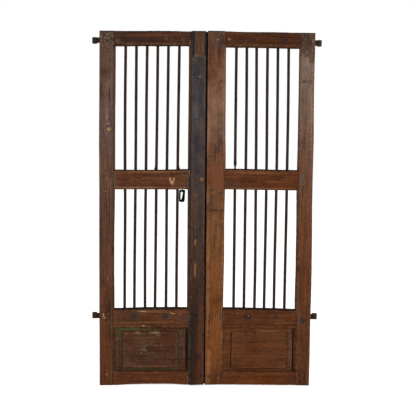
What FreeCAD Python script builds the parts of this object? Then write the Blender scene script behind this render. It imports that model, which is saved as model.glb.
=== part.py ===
import FreeCAD, Part
import os
import Sketcher

# Jali door: a pair of framed wooden leaves with upright iron bars over a fielded panel.
# Frame: X to the right, Y away from the viewer, Z up, X = 0 between the leaves, Z = 0 under them.

doc = FreeCAD.newDocument("jali_door")

# Driving sizes in millimetres
SIZES = {
    # Leaves
    "leaf_height": 1830,
    "leaf_width": 548.95,
    "leaf_thickness": 40,
    "meeting_gap": 0.9,
    "meeting_bevel": 2,
    "rabbet_width": 4.55,
    "rabbet_depth": 12,
    # Stiles and rails
    "hinge_stile_width": 73,
    "meeting_stile_width": 93.55,
    "top_rail_height": 70,
    "mid_rail_height": 103,
    "mid_rail_bottom": 1024,
    "lock_rail_height": 101,
    "lock_rail_bottom": 299,
    "bottom_rail_height": 74,
    "edge_chamfer": 7,
    # Mortise and tenon joints
    "tenon_length": 50,
    "tenon_thickness": 13,
    "tenon_shoulder": 11,
    "tenon_clearance": 0.15,
    "mortise_end_gap": 0.6,
    "peg_radius": 4.5,
    "peg_clearance": 0.05,
    "peg_spread": 50,
    # Panels
    "panel_edge_thickness": 12,
    "panel_tongue": 9,
    "groove_depth": 9.6,
    "groove_clearance": 0.15,
    "field_side_margin": 44,
    "field_top_margin": 21,
    "field_bottom_margin": 13,
    "field_rise": 6,
    "quirk_width": 3,
    "quirk_depth": 3,
    # Iron bars
    "bar_radius": 6.2,
    "bar_clearance": 0.15,
    "bar_socket": 25,
    "bar_end_gap": 0.4,
    # Astragal and its nails
    "astragal_width": 75,
    "astragal_thickness": 17,
    "astragal_bevel": 3,
    "astragal_inset": 1.5,
    "stud_edge_distance": 25,
    "stud_top_distance": 228,
    "stud_bottom_distance": 21,
    "latch_stud_drop": 78,
    "latch_stud_edge_distance": 47,
    "stud_radius": 3.5,
    "stud_depth": 28,
    "stud_head_radius": 10,
    "stud_head_rise": 3,
    # Hinges
    "upper_hinge_drop": 45,
    "lower_hinge_rise": 57,
    "hinge_offset": 31,
    "eye_radius": 13,
    "pin_radius": 7,
    "pin_clearance": 0.05,
    "pin_head_radius": 9.5,
    "pin_head_rise": 1.6,
    "strap_height": 29,
    "strap_thickness": 5,
    "strap_set": 0.5,
    "strap_end_margin": 52,
    "strap_tip_length": 34,
    "strap_tip_height": 20,
    "strap_point_height": 6,
    "spike_eye_height": 12.6,
    "knuckle_clearance": 0.3,
    "fork_clearance": 1.5,
    "spike_radius": 6,
    "spike_collar_radius": 9,
    "spike_collar_thickness": 2.5,
    "spike_collar_gap": 0.6,
    "spike_length": 58,
    "spike_point_length": 14,
    "spike_point_radius": 2,
    "strap_nail_start": 15,
    "strap_nail_radius": 2.5,
    "strap_nail_depth": 28,
    "strap_nail_head_radius": 6.5,
    "strap_nail_head_rise": 2.4,
    "nail_clearance": 0.05,
    # Latch link and staple
    "link_from_bar": 24.5,
    "link_drop": 6.6,
    "link_wire_radius": 4.9,
    "link_width": 22.4,
    "link_height": 51,
    "link_corner_radius": 6.6,
    "staple_wire_radius": 3,
    "staple_clearance": 0.08,
    "staple_grip": 38,
}
BAR_COUNT = 6
STRAP_NAIL_COUNT = 4
ASTRAGAL_STUD_COUNT = 4

sheet = doc.addObject("Spreadsheet::Sheet", "dim")
for row, (alias, size) in enumerate(SIZES.items(), start=1):
    sheet.set(f"A{row}", alias)
    sheet.set(f"B{row}", str(size))
    sheet.setAlias(f"B{row}", alias)
doc.recompute()

# Places that follow from the driving sizes
HALF_GAP = "dim.meeting_gap / 2"
OPENING = "(dim.leaf_width - dim.hinge_stile_width - dim.meeting_stile_width)"
BAR_PITCH = f"({OPENING} / {BAR_COUNT + 1})"
FRONT_REACH = "(dim.leaf_thickness + dim.astragal_thickness + dim.stud_head_rise)"
EYE_BEHIND = "(dim.eye_radius - dim.strap_set)"
BACK_REACH = f"({EYE_BEHIND} + dim.eye_radius + dim.spike_length)"
BACK_PLANE = f"({FRONT_REACH} - {BACK_REACH}) / 2"
HINGE_PLANE = f"{BACK_PLANE} + {EYE_BEHIND}"
HINGE_SIDE = f"({HALF_GAP} + dim.leaf_width + dim.hinge_offset)"
TOP_RAIL_BOTTOM = "(dim.leaf_height - dim.top_rail_height)"
LOCK_RAIL_TOP = "(dim.lock_rail_bottom + dim.lock_rail_height)"
PANEL_HEIGHT = "(dim.lock_rail_bottom - dim.bottom_rail_height)"
PANEL_MIDDLE = "(dim.leaf_thickness / 2)"

# Each rail: where it starts, its height, and the heights of its pegs above its lower edge
RAILS = {
    "top_rail": (TOP_RAIL_BOTTOM, "dim.top_rail_height", ("dim.top_rail_height / 2",)),
    "mid_rail": (
        "dim.mid_rail_bottom",
        "dim.mid_rail_height",
        ("(dim.mid_rail_height - dim.peg_spread) / 2", "(dim.mid_rail_height + dim.peg_spread) / 2"),
    ),
    "lock_rail": (
        "dim.lock_rail_bottom",
        "dim.lock_rail_height",
        ("(dim.lock_rail_height - dim.peg_spread) / 2", "(dim.lock_rail_height + dim.peg_spread) / 2"),
    ),
    "bottom_rail": ("0", "dim.bottom_rail_height", ("dim.bottom_rail_height / 2",)),
}
# Height of the hinge on each rail that carries a strap, and its nails measured from the leaf edge:
# the first in the stile, the others midway between bars
UPPER_HINGE = "(dim.leaf_height - dim.upper_hinge_drop)"
LOWER_HINGE = "(dim.lock_rail_bottom + dim.lower_hinge_rise)"
STRAP_HEIGHTS = {"top_rail": UPPER_HINGE, "lock_rail": LOWER_HINGE}
RAIL_NAILS = [
    f"(dim.hinge_stile_width + {index - 0.5} * {BAR_PITCH})"
    for index in range(1, STRAP_NAIL_COUNT)
]
STRAP_NAILS = ["dim.strap_nail_start", *RAIL_NAILS]
STRAP_REACH = f"({RAIL_NAILS[-1]} + dim.strap_end_margin)"

nodes = []


# Shared modelling steps
def new_body(label, x, y, z):
    body = doc.addObject("PartDesign::Body", label)
    body.Label = label
    place(body, x, y, z)
    nodes.append(body)
    return body


def place(obj, x, y, z):
    for axis, expression in zip("xyz", (x, y, z)):
        obj.setExpression(f"Placement.Base.{axis}", expression)


def new_sketch(body, name, plane, offset="0"):
    sketch = body.newObject("Sketcher::SketchObject", f"{body.Label}_{name}")
    support = [feature for feature in body.Origin.OriginFeatures if feature.Role == plane]
    sketch.AttachmentSupport = [(support[0], "")]
    sketch.MapMode = "FlatFace"
    sketch.setExpression("AttachmentOffset.Base.z", offset)
    return sketch


def number(sketch, expression):
    return float(sketch.evalExpression(expression))


def bind(sketch, constraint, expression):
    index = sketch.addConstraint(constraint)
    sketch.setExpression(f"Constraints[{index}]", expression)


def bind_point(sketch, geometry, vertex, x, y):
    bind(sketch, Sketcher.Constraint("DistanceX", -1, 1, geometry, vertex, number(sketch, x)), x)
    bind(sketch, Sketcher.Constraint("DistanceY", -1, 1, geometry, vertex, number(sketch, y)), y)


def add_polygon(sketch, points):
    corners = [FreeCAD.Vector(number(sketch, x), number(sketch, y), 0) for x, y in points]
    first = sketch.GeometryCount
    count = len(points)
    for index in range(count):
        sketch.addGeometry(Part.LineSegment(corners[index], corners[(index + 1) % count]), False)
    for index in range(count):
        sketch.addConstraint(
            Sketcher.Constraint("Coincident", first + index, 2, first + (index + 1) % count, 1)
        )
    for index, (x, y) in enumerate(points):
        bind_point(sketch, first + index, 1, x, y)


def add_rectangle(sketch, x0, y0, x1, y1):
    add_polygon(sketch, [(x0, y0), (x1, y0), (x1, y1), (x0, y1)])


def add_circles(sketch, centres, radius):
    for x, y in centres:
        middle = FreeCAD.Vector(number(sketch, x), number(sketch, y), 0)
        circle = Part.Circle(middle, FreeCAD.Vector(0, 0, 1), number(sketch, radius))
        index = sketch.addGeometry(circle, False)
        bind_point(sketch, index, 3, x, y)
        bind(sketch, Sketcher.Constraint("Radius", index, number(sketch, radius)), radius)


def pad(sketch, length):
    body = sketch.getParentGeoFeatureGroup()
    feature = body.newObject("PartDesign::Pad", f"{sketch.Name}_pad")
    feature.Profile = sketch
    feature.setExpression("Length", length)
    return feature


def pocket(sketch, depth, reverse=False):
    body = sketch.getParentGeoFeatureGroup()
    feature = body.newObject("PartDesign::Pocket", f"{sketch.Name}_pocket")
    feature.Profile = sketch
    feature.Reversed = reverse
    feature.setExpression("Length", depth)
    return feature


def revolve(sketch):
    body = sketch.getParentGeoFeatureGroup()
    feature = body.newObject("PartDesign::Revolution", f"{sketch.Name}_turned")
    feature.Profile = sketch
    feature.ReferenceAxis = (sketch, ["V_Axis"])
    feature.Angle = 360
    return feature


def drill_front_to_back(body, name, centres, radius, start, depth):
    """Drill along +Y from the plane at distance start in front of the back face."""
    sketch = new_sketch(body, name, "XZ_Plane", start)
    add_circles(sketch, centres, radius)
    pocket(sketch, depth)


# Stiles stand full height, with mortises for the rails and a groove for the panel
def stile(label, inner_x, width, outward, meeting_bevel="", studs=(), strapped=False):
    """outward is + or -, the side on which the stile lies from its inner edge."""
    body = new_body(label, inner_x, BACK_PLANE, "0")
    thickness = "dim.leaf_thickness"
    profile = [
        ("0", "0"),
        ("0", f"-({thickness} - dim.edge_chamfer)"),
        (f"{outward}dim.edge_chamfer", f"-{thickness}"),
    ]
    if meeting_bevel:
        lean = f"{meeting_bevel}dim.meeting_bevel * (0.5 - dim.rabbet_depth / {thickness})"
        profile += [
            (f"{outward}({width} - dim.rabbet_width)", f"-{thickness}"),
            (f"{outward}({width} - dim.rabbet_width)", f"-({thickness} - dim.rabbet_depth)"),
            (f"{outward}({width} + ({lean}))", f"-({thickness} - dim.rabbet_depth)"),
            (f"{outward}({width} - ({meeting_bevel}dim.meeting_bevel / 2))", "0"),
        ]
    else:
        profile += [(f"{outward}{width}", f"-{thickness}"), (f"{outward}{width}", "0")]
    outline = new_sketch(body, "outline", "XY_Plane")
    add_polygon(outline, profile)
    pad(outline, "dim.leaf_height")

    cheek = "(dim.tenon_thickness / 2 + dim.tenon_clearance)"
    mortises = new_sketch(body, "mortises", "YZ_Plane")
    for bottom, height, rises in RAILS.values():
        add_rectangle(
            mortises,
            f"-{PANEL_MIDDLE} - {cheek}",
            f"{bottom} + dim.tenon_shoulder - dim.tenon_clearance",
            f"-{PANEL_MIDDLE} + {cheek}",
            f"{bottom} + {height} - dim.tenon_shoulder + dim.tenon_clearance",
        )
    pocket(mortises, "dim.tenon_length + dim.mortise_end_gap", reverse=outward == "+")

    lip = "(dim.panel_edge_thickness / 2 + dim.groove_clearance)"
    groove = new_sketch(body, "groove", "YZ_Plane")
    add_rectangle(
        groove,
        f"-{PANEL_MIDDLE} - {lip}",
        "dim.bottom_rail_height - dim.groove_depth",
        f"-{PANEL_MIDDLE} + {lip}",
        "dim.lock_rail_bottom + dim.groove_depth",
    )
    pocket(groove, "dim.groove_depth", reverse=outward == "+")

    peg_holes = [
        (f"{outward}dim.tenon_length / 2", f"{bottom} + {rise}")
        for bottom, height, rises in RAILS.values()
        for rise in rises
    ]
    peg_bore = "dim.peg_radius + dim.peg_clearance"
    drill_front_to_back(body, "peg_holes", peg_holes, peg_bore, thickness, thickness)
    if strapped:
        nail_x = f"{outward}({width} - dim.strap_nail_start)"
        nail_holes = [(nail_x, height) for height in STRAP_HEIGHTS.values()]
        nail_bore = "dim.strap_nail_radius + dim.nail_clearance"
        depth = "dim.strap_nail_depth"
        drill_front_to_back(body, "nail_holes", nail_holes, nail_bore, depth, depth)
    if studs:
        stud_bore = "dim.stud_radius + dim.nail_clearance"
        drill_front_to_back(body, "stud_holes", studs, stud_bore, thickness, "dim.stud_depth")


# Rails run between the stiles, with front lips scribed over the stile chamfers and a tenon at each end
def rail(label, kind, left_x, strap_end, bar_side="", groove_side="", staple_x=""):
    bottom, height, peg_rises = RAILS[kind]
    body = new_body(label, left_x, BACK_PLANE, bottom)
    thickness = "dim.leaf_thickness"
    chamfer = "dim.edge_chamfer"
    outline = new_sketch(body, "outline", "XY_Plane")
    add_polygon(
        outline,
        [
            ("0", "0"),
            (OPENING, "0"),
            (OPENING, f"-({thickness} - {chamfer})"),
            (f"{OPENING} + {chamfer}", f"-{thickness}"),
            (f"-{chamfer}", f"-{thickness}"),
            ("0", f"-({thickness} - {chamfer})"),
        ],
    )
    pad(outline, height)

    tenon = new_sketch(body, "tenon", "YZ_Plane", "-dim.tenon_length")
    add_rectangle(
        tenon,
        f"-{PANEL_MIDDLE} - dim.tenon_thickness / 2",
        "dim.tenon_shoulder",
        f"-{PANEL_MIDDLE} + dim.tenon_thickness / 2",
        f"{height} - dim.tenon_shoulder",
    )
    pad(tenon, f"{OPENING} + 2 * dim.tenon_length")

    edges = new_sketch(body, "chamfers", "YZ_Plane", f"{OPENING} + 2 * {chamfer}")
    front = f"-{thickness}"
    inside = f"-({thickness} - {chamfer})"
    if kind != "bottom_rail":
        add_polygon(edges, [(front, "0"), (inside, "0"), (front, chamfer)])
    if kind != "top_rail":
        add_polygon(edges, [(front, height), (inside, height), (front, f"{height} - {chamfer}")])
    pocket(edges, f"{OPENING} + 4 * {chamfer}")

    if bar_side:
        top, depth = {
            "below": ("dim.bar_socket", "dim.bar_socket"),
            "through": (height, height),
            "above": (height, "dim.bar_socket"),
        }[bar_side]
        sockets = new_sketch(body, "bar_holes", "XY_Plane", top)
        centres = [(f"{index} * {BAR_PITCH}", f"-{PANEL_MIDDLE}") for index in range(1, BAR_COUNT + 1)]
        add_circles(sockets, centres, "dim.bar_radius + dim.bar_clearance")
        pocket(sockets, depth)

    if groove_side:
        lip = "(dim.panel_edge_thickness / 2 + dim.groove_clearance)"
        low, high = {
            "below": ("0", "dim.groove_depth"),
            "above": (f"{height} - dim.groove_depth", height),
        }[groove_side]
        groove = new_sketch(body, "groove", "YZ_Plane", f"{OPENING} + dim.tenon_length")
        add_rectangle(groove, f"-{PANEL_MIDDLE} - {lip}", low, f"-{PANEL_MIDDLE} + {lip}", high)
        pocket(groove, f"{OPENING} + 2 * dim.tenon_length")

    peg_x = ("-dim.tenon_length / 2", f"{OPENING} + dim.tenon_length / 2")
    peg_holes = [(x, rise) for x in peg_x for rise in peg_rises]
    peg_bore = "dim.peg_radius + dim.peg_clearance"
    drill_front_to_back(body, "peg_holes", peg_holes, peg_bore, thickness, thickness)

    if kind in STRAP_HEIGHTS:
        nail_holes = []
        for distance in RAIL_NAILS:
            inward = f"({distance} - dim.hinge_stile_width)"
            nail_x = inward if strap_end == "left" else f"{OPENING} - {inward}"
            nail_holes.append((nail_x, f"{STRAP_HEIGHTS[kind]} - {bottom}"))
        nail_bore = "dim.strap_nail_radius + dim.nail_clearance"
        depth = "dim.strap_nail_depth"
        drill_front_to_back(body, "nail_holes", nail_holes, nail_bore, depth, depth)

    if staple_x:
        legs = new_sketch(body, "staple_holes", "XY_Plane", "dim.staple_grip")
        centres = [(staple_x, f"-{PANEL_MIDDLE} {sign} {STAPLE_BEND}") for sign in "+-"]
        add_circles(legs, centres, "dim.staple_wire_radius + dim.nail_clearance")
        pocket(legs, "dim.staple_grip")


# Fielded panel, with its edges in the grooves and a quirk round the raised field
def panel(label, left_x):
    body = new_body(label, left_x, BACK_PLANE, "dim.bottom_rail_height")
    face = "(dim.leaf_thickness + dim.panel_edge_thickness) / 2"
    board = new_sketch(body, "board", "XZ_Plane", f"{face} - dim.panel_edge_thickness")
    reach = "dim.panel_tongue"
    add_rectangle(board, f"-{reach}", f"-{reach}", f"{OPENING} + {reach}", f"{PANEL_HEIGHT} + {reach}")
    pad(board, "dim.panel_edge_thickness")

    left, right = "dim.field_side_margin", f"{OPENING} - dim.field_side_margin"
    low, high = "dim.field_bottom_margin", f"{PANEL_HEIGHT} - dim.field_top_margin"
    quirk = new_sketch(body, "quirk", "XZ_Plane", face)
    width = "dim.quirk_width"
    add_rectangle(
        quirk,
        f"{left} - {width}",
        f"{low} - {width}",
        f"{right} + {width}",
        f"{high} + {width}",
    )
    add_rectangle(quirk, left, low, right, high)
    pocket(quirk, "dim.quirk_depth")

    field = new_sketch(body, "field", "XZ_Plane", face)
    add_rectangle(field, left, low, right, high)
    raised = pad(field, "dim.field_rise")
    raised.TaperAngle = -25


# Wooden pegs through the tenons, flush with both faces of one leaf
def pegs(label, shoulder_left, shoulder_right):
    body = new_body(label, "0", BACK_PLANE, "0")
    centres = []
    for bottom, height, rises in RAILS.values():
        for x in (f"{shoulder_left} - dim.tenon_length / 2", f"{shoulder_right} + dim.tenon_length / 2"):
            centres += [(x, f"{bottom} + {rise}") for rise in rises]
    ends = new_sketch(body, "ends", "XZ_Plane")
    add_circles(ends, centres, "dim.peg_radius")
    pad(ends, "dim.leaf_thickness")


# Iron bars stand in the lock rail, pass through the mid rail and end in the top rail
def bar(label, x):
    rod = doc.addObject("Part::Cylinder", label)
    rod.Label = label
    rod.setExpression("Radius", "dim.bar_radius")
    low = f"({LOCK_RAIL_TOP} - dim.bar_socket)"
    high = f"({TOP_RAIL_BOTTOM} + dim.bar_socket)"
    rod.setExpression("Height", f"{high} - {low} - 2 * dim.bar_end_gap")
    place(rod, x, f"{BACK_PLANE} - {PANEL_MIDDLE}", f"{low} + dim.bar_end_gap")
    nodes.append(rod)


# Nails with broad hammered heads, driven along Y
def nails(label, place_at, centres, shank_radius, depth, head_radius, head_rise, head_faces_front):
    """The local origin lies on the face under the heads."""
    body = new_body(label, *place_at)
    heads = new_sketch(body, "heads", "XZ_Plane")
    add_circles(heads, centres, head_radius)
    crown = pad(heads, head_rise)
    crown.TaperAngle = -45
    shanks = new_sketch(body, "shanks", "XZ_Plane")
    add_circles(shanks, centres, shank_radius)
    stem = pad(shanks, depth)
    crown.Reversed = not head_faces_front
    stem.Reversed = head_faces_front


# Hinge strap on the back of a rail, its end forged into a forked eye
def strap(label, side, height):
    """side is - for the left leaf and + for the right leaf."""
    inward = "-" if side == "+" else "+"
    body = new_body(label, f"{side}{HINGE_SIDE}", HINGE_PLANE, height)
    half = "dim.strap_height / 2"
    reach = f"(dim.hinge_offset + {STRAP_REACH})"
    shoulder = f"({reach} - dim.strap_tip_length)"
    plate = new_sketch(body, "plate", "XZ_Plane", f"{EYE_BEHIND} - dim.strap_thickness")
    add_polygon(
        plate,
        [
            ("0", f"-{half}"),
            (f"{inward}{shoulder}", "-dim.strap_tip_height / 2"),
            (f"{inward}{reach}", "-dim.strap_point_height / 2"),
            (f"{inward}{reach}", "dim.strap_point_height / 2"),
            (f"{inward}{shoulder}", "dim.strap_tip_height / 2"),
            ("0", half),
        ],
    )
    pad(plate, "dim.strap_thickness")

    eye = new_sketch(body, "eye", "XY_Plane", f"-{half}")
    add_circles(eye, [("0", "0")], "dim.eye_radius")
    pad(eye, "dim.strap_height")
    bore = new_sketch(body, "bore", "XY_Plane", half)
    add_circles(bore, [("0", "0")], "dim.pin_radius + dim.pin_clearance")
    pocket(bore, "dim.strap_height")

    around = "(dim.eye_radius + dim.fork_clearance)"
    slot_half = "(dim.spike_eye_height / 2 + dim.knuckle_clearance)"
    slot = new_sketch(body, "fork", "XZ_Plane", around)
    add_rectangle(slot, f"-{around}", f"-{slot_half}", around, slot_half)
    pocket(slot, f"2 * {around}")

    nail_holes = [(f"{inward}(dim.hinge_offset + {distance})", "0") for distance in STRAP_NAILS]
    nail_bore = "dim.strap_nail_radius + dim.nail_clearance"
    drill_front_to_back(body, "nail_holes", nail_holes, nail_bore, EYE_BEHIND, "dim.strap_thickness")

    nails(
        f"{label}_nails",
        (f"{side}{HINGE_SIDE}", f"{BACK_PLANE} + dim.strap_thickness", height),
        nail_holes,
        "dim.strap_nail_radius",
        "dim.strap_thickness + dim.strap_nail_depth - dim.bar_end_gap",
        "dim.strap_nail_head_radius",
        "dim.strap_nail_head_rise",
        head_faces_front=False,
    )


# Eye spike, driven straight back into the door frame
def spike(label, side, height):
    body = new_body(label, f"{side}{HINGE_SIDE}", HINGE_PLANE, height)
    tip = "(dim.eye_radius + dim.spike_length)"
    collar = "(dim.eye_radius + dim.spike_collar_gap)"
    seat = f"({collar} + dim.spike_collar_thickness)"
    shank = new_sketch(body, "shank", "XY_Plane")
    add_polygon(
        shank,
        [
            ("0", "0"),
            ("dim.spike_radius", "0"),
            ("dim.spike_radius", collar),
            ("dim.spike_collar_radius", collar),
            ("dim.spike_collar_radius", seat),
            ("dim.spike_radius", seat),
            ("dim.spike_radius", f"{tip} - dim.spike_point_length"),
            ("dim.spike_point_radius", tip),
            ("0", tip),
        ],
    )
    revolve(shank)
    eye = new_sketch(body, "eye", "XY_Plane", "-dim.spike_eye_height / 2")
    add_circles(eye, [("0", "0")], "dim.eye_radius")
    pad(eye, "dim.spike_eye_height")
    bore = new_sketch(body, "bore", "XY_Plane", "dim.spike_eye_height / 2")
    add_circles(bore, [("0", "0")], "dim.pin_radius + dim.pin_clearance")
    pocket(bore, "dim.spike_eye_height")


# Hinge pin with a riveted head at each end
def hinge_pin(label, side, height):
    body = new_body(label, f"{side}{HINGE_SIDE}", HINGE_PLANE, height)
    seat = "(dim.strap_height / 2 + dim.knuckle_clearance)"
    end = f"({seat} + dim.pin_head_rise)"
    turned = new_sketch(body, "profile", "XZ_Plane")
    add_polygon(
        turned,
        [
            ("0", f"-{end}"),
            ("dim.pin_radius", f"-{end}"),
            ("dim.pin_head_radius", f"-{seat}"),
            ("dim.pin_radius", f"-{seat}"),
            ("dim.pin_radius", seat),
            ("dim.pin_head_radius", seat),
            ("dim.pin_radius", end),
            ("0", end),
        ],
    )
    revolve(turned)


# Sketch of a wire path made of lines and arcs, each given by its bound points
def add_path(sketch, steps):
    """A step is a list of two points for a line, or start, middle, end and centre for an arc."""
    for step in steps:
        points = [FreeCAD.Vector(number(sketch, x), number(sketch, y), 0) for x, y in step]
        if len(step) == 2:
            index = sketch.addGeometry(Part.LineSegment(*points), False)
            bind_point(sketch, index, 1, *step[0])
            bind_point(sketch, index, 2, *step[1])
            continue
        index = sketch.addGeometry(Part.Arc(*points[:3]), False)
        starts_first = sketch.getPoint(index, 1).isEqual(points[0], 1e-6)
        start, end = (1, 2) if starts_first else (2, 1)
        bind_point(sketch, index, 3, *step[3])
        bind_point(sketch, index, start, *step[0])
        ends_level = abs(points[2].y - points[3].y) < abs(points[2].x - points[3].x)
        kind, expression = ("DistanceY", step[2][1]) if ends_level else ("DistanceX", step[2][0])
        bind(sketch, Sketcher.Constraint(kind, -1, 1, index, end, number(sketch, expression)), expression)


def sweep(profile, path):
    body = profile.getParentGeoFeatureGroup()
    feature = body.newObject("PartDesign::AdditivePipe", f"{body.Label}_wire")
    feature.Profile = profile
    feature.Spine = (path, [f"Edge{index + 1}" for index in range(path.GeometryCount)])
    return feature


STAPLE_BEND = "(dim.link_wire_radius + dim.staple_clearance + dim.staple_wire_radius)"

# Left leaf
LEFT_HINGE_EDGE = f"-({HALF_GAP} + dim.leaf_width - dim.hinge_stile_width)"
LEFT_MEETING_EDGE = f"-({HALF_GAP} + dim.meeting_stile_width)"
STUD_X = f"({HALF_GAP} + dim.rabbet_width + dim.stud_edge_distance)"
LATCH_STUD_X = f"({HALF_GAP} + dim.rabbet_width + dim.latch_stud_edge_distance)"
FIRST_STUD = "(dim.leaf_height - dim.stud_top_distance)"
STUD_PITCH = f"(({FIRST_STUD} - dim.stud_bottom_distance) / {ASTRAGAL_STUD_COUNT - 1})"
stud_places = [(STUD_X, f"{FIRST_STUD} - {index} * {STUD_PITCH}") for index in range(ASTRAGAL_STUD_COUNT)]
stud_places.append((LATCH_STUD_X, f"{FIRST_STUD} - {STUD_PITCH} - dim.latch_stud_drop"))
STAPLE_IN_RAIL = f"{BAR_COUNT} * {BAR_PITCH} + dim.link_from_bar"

stile("left_hinge_stile", LEFT_HINGE_EDGE, "dim.hinge_stile_width", "-", strapped=True)
stile(
    "left_meeting_stile",
    LEFT_MEETING_EDGE,
    "dim.meeting_stile_width",
    "+",
    meeting_bevel="+",
    studs=[(f"dim.meeting_stile_width + {HALF_GAP} - {x}", z) for x, z in stud_places],
)
rail("left_top_rail", "top_rail", LEFT_HINGE_EDGE, "left", bar_side="below")
rail("left_mid_rail", "mid_rail", LEFT_HINGE_EDGE, "left", bar_side="through", staple_x=STAPLE_IN_RAIL)
rail("left_lock_rail", "lock_rail", LEFT_HINGE_EDGE, "left", bar_side="above", groove_side="below")
rail("left_bottom_rail", "bottom_rail", LEFT_HINGE_EDGE, "left", groove_side="above")
panel("left_panel", LEFT_HINGE_EDGE)
pegs("left_pegs", LEFT_HINGE_EDGE, LEFT_MEETING_EDGE)
for index in range(1, BAR_COUNT + 1):
    bar(f"left_bar_{index}", f"{LEFT_HINGE_EDGE} + {index} * {BAR_PITCH}")

# Astragal, nailed to the front of the left meeting stile
ASTRAGAL_EDGE = f"({HALF_GAP} + dim.rabbet_width)"
cover = new_body(
    "astragal",
    f"-({ASTRAGAL_EDGE} + dim.astragal_width)",
    f"{BACK_PLANE} - dim.leaf_thickness",
    "dim.astragal_inset",
)
section = new_sketch(cover, "section", "XY_Plane")
proud, bevel = "dim.astragal_thickness", "dim.astragal_bevel"
add_polygon(
    section,
    [
        ("0", "0"),
        ("dim.astragal_width", "0"),
        ("dim.astragal_width", f"-({proud} - {bevel})"),
        (f"dim.astragal_width - {bevel}", f"-{proud}"),
        (bevel, f"-{proud}"),
        ("0", f"-({proud} - {bevel})"),
    ],
)
pad(section, "dim.leaf_height - 2 * dim.astragal_inset")
cover_holes = [
    (f"dim.astragal_width + {ASTRAGAL_EDGE} - {x}", f"{z} - dim.astragal_inset") for x, z in stud_places
]
drill_front_to_back(cover, "stud_holes", cover_holes, "dim.stud_radius + dim.nail_clearance", proud, proud)
nails(
    "astragal_nails",
    ("0", f"{BACK_PLANE} - dim.leaf_thickness - {proud}", "0"),
    [(f"-{x}", z) for x, z in stud_places],
    "dim.stud_radius",
    f"{proud} + dim.stud_depth - dim.bar_end_gap",
    "dim.stud_head_radius",
    "dim.stud_head_rise",
    head_faces_front=True,
)

# Latch staple under the left mid rail
LINK_X = f"{LEFT_HINGE_EDGE} + {STAPLE_IN_RAIL}"
LINK_Y = f"{BACK_PLANE} - {PANEL_MIDDLE}"
LINK_Z = "dim.mid_rail_bottom - dim.link_drop"
staple = new_body("latch_staple", LINK_X, LINK_Y, LINK_Z)
leg_top = "(dim.link_drop + dim.staple_grip - dim.bar_end_gap)"
bend = STAPLE_BEND
staple_path = new_sketch(staple, "path", "YZ_Plane")
add_path(
    staple_path,
    [
        [(f"-{bend}", leg_top), (f"-{bend}", "0")],
        [(f"-{bend}", "0"), ("0", f"-{bend}"), (bend, "0"), ("0", "0")],
        [(bend, "0"), (bend, leg_top)],
    ],
)
staple_wire = new_sketch(staple, "wire", "XY_Plane", leg_top)
add_circles(staple_wire, [("0", f"-{bend}")], "dim.staple_wire_radius")
sweep(staple_wire, staple_path)

# Latch link hanging in the staple, straight across the top and round at the bottom
link = new_body("latch_link", LINK_X, LINK_Y, LINK_Z)
half_width = "(dim.link_width / 2)"
corner = "dim.link_corner_radius"
straight = f"({half_width} - {corner})"
low = f"-(dim.link_height - {half_width})"
slant = f"{corner} * sqrt(0.5)"
link_path = new_sketch(link, "path", "XZ_Plane")
add_path(
    link_path,
    [
        [("0", "0"), (straight, "0")],
        [
            (straight, "0"),
            (f"{straight} + {slant}", f"-{corner} + {slant}"),
            (half_width, f"-{corner}"),
            (straight, f"-{corner}"),
        ],
        [(half_width, f"-{corner}"), (half_width, low)],
        [(half_width, low), ("0", "-dim.link_height"), (f"-{half_width}", low), ("0", low)],
        [(f"-{half_width}", low), (f"-{half_width}", f"-{corner}")],
        [
            (f"-{half_width}", f"-{corner}"),
            (f"-{straight} - {slant}", f"-{corner} + {slant}"),
            (f"-{straight}", "0"),
            (f"-{straight}", f"-{corner}"),
        ],
        [(f"-{straight}", "0"), ("0", "0")],
    ],
)
link_wire = new_sketch(link, "wire", "YZ_Plane")
add_circles(link_wire, [("0", "0")], "dim.link_wire_radius")
sweep(link_wire, link_path)

# Right leaf
RIGHT_MEETING_EDGE = f"({HALF_GAP} + dim.meeting_stile_width)"
RIGHT_HINGE_EDGE = f"({HALF_GAP} + dim.leaf_width - dim.hinge_stile_width)"
stile("right_meeting_stile", RIGHT_MEETING_EDGE, "dim.meeting_stile_width", "-", meeting_bevel="-")
stile("right_hinge_stile", RIGHT_HINGE_EDGE, "dim.hinge_stile_width", "+", strapped=True)
rail("right_top_rail", "top_rail", RIGHT_MEETING_EDGE, "right", bar_side="below")
rail("right_mid_rail", "mid_rail", RIGHT_MEETING_EDGE, "right", bar_side="through")
rail("right_lock_rail", "lock_rail", RIGHT_MEETING_EDGE, "right", bar_side="above", groove_side="below")
rail("right_bottom_rail", "bottom_rail", RIGHT_MEETING_EDGE, "right", groove_side="above")
panel("right_panel", RIGHT_MEETING_EDGE)
pegs("right_pegs", RIGHT_MEETING_EDGE, RIGHT_HINGE_EDGE)
for index in range(1, BAR_COUNT + 1):
    bar(f"right_bar_{index}", f"{RIGHT_MEETING_EDGE} + {index} * {BAR_PITCH}")

# Hinges, two on each leaf
for leaf, side in (("left", "-"), ("right", "+")):
    for level, height in (("upper", UPPER_HINGE), ("lower", LOWER_HINGE)):
        strap(f"{leaf}_{level}_strap", side, height)
        spike(f"{leaf}_{level}_spike", side, height)
        hinge_pin(f"{leaf}_{level}_pin", side, height)

doc.recompute()

# Checks before anything is written
for obj in doc.Objects:
    if "Invalid" in obj.State or "Error" in obj.State:
        raise RuntimeError(f"{obj.Name} did not compute: {obj.State}")
for node in nodes:
    if node.Shape.isNull() or not node.Shape.isValid():
        raise RuntimeError(f"{node.Label} has no valid shape")

os.makedirs("parts", exist_ok=True)
for node in nodes:
    node.Shape.exportStep(f"parts/{node.Label}.step")
    box = node.Shape.BoundBox
    print(f"{node.Label:28s} solids {len(node.Shape.Solids):2d}  volume {node.Shape.Volume:12.1f}  {box}")
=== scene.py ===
import math

import bpy
from mathutils import Matrix, Vector, noise


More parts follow.
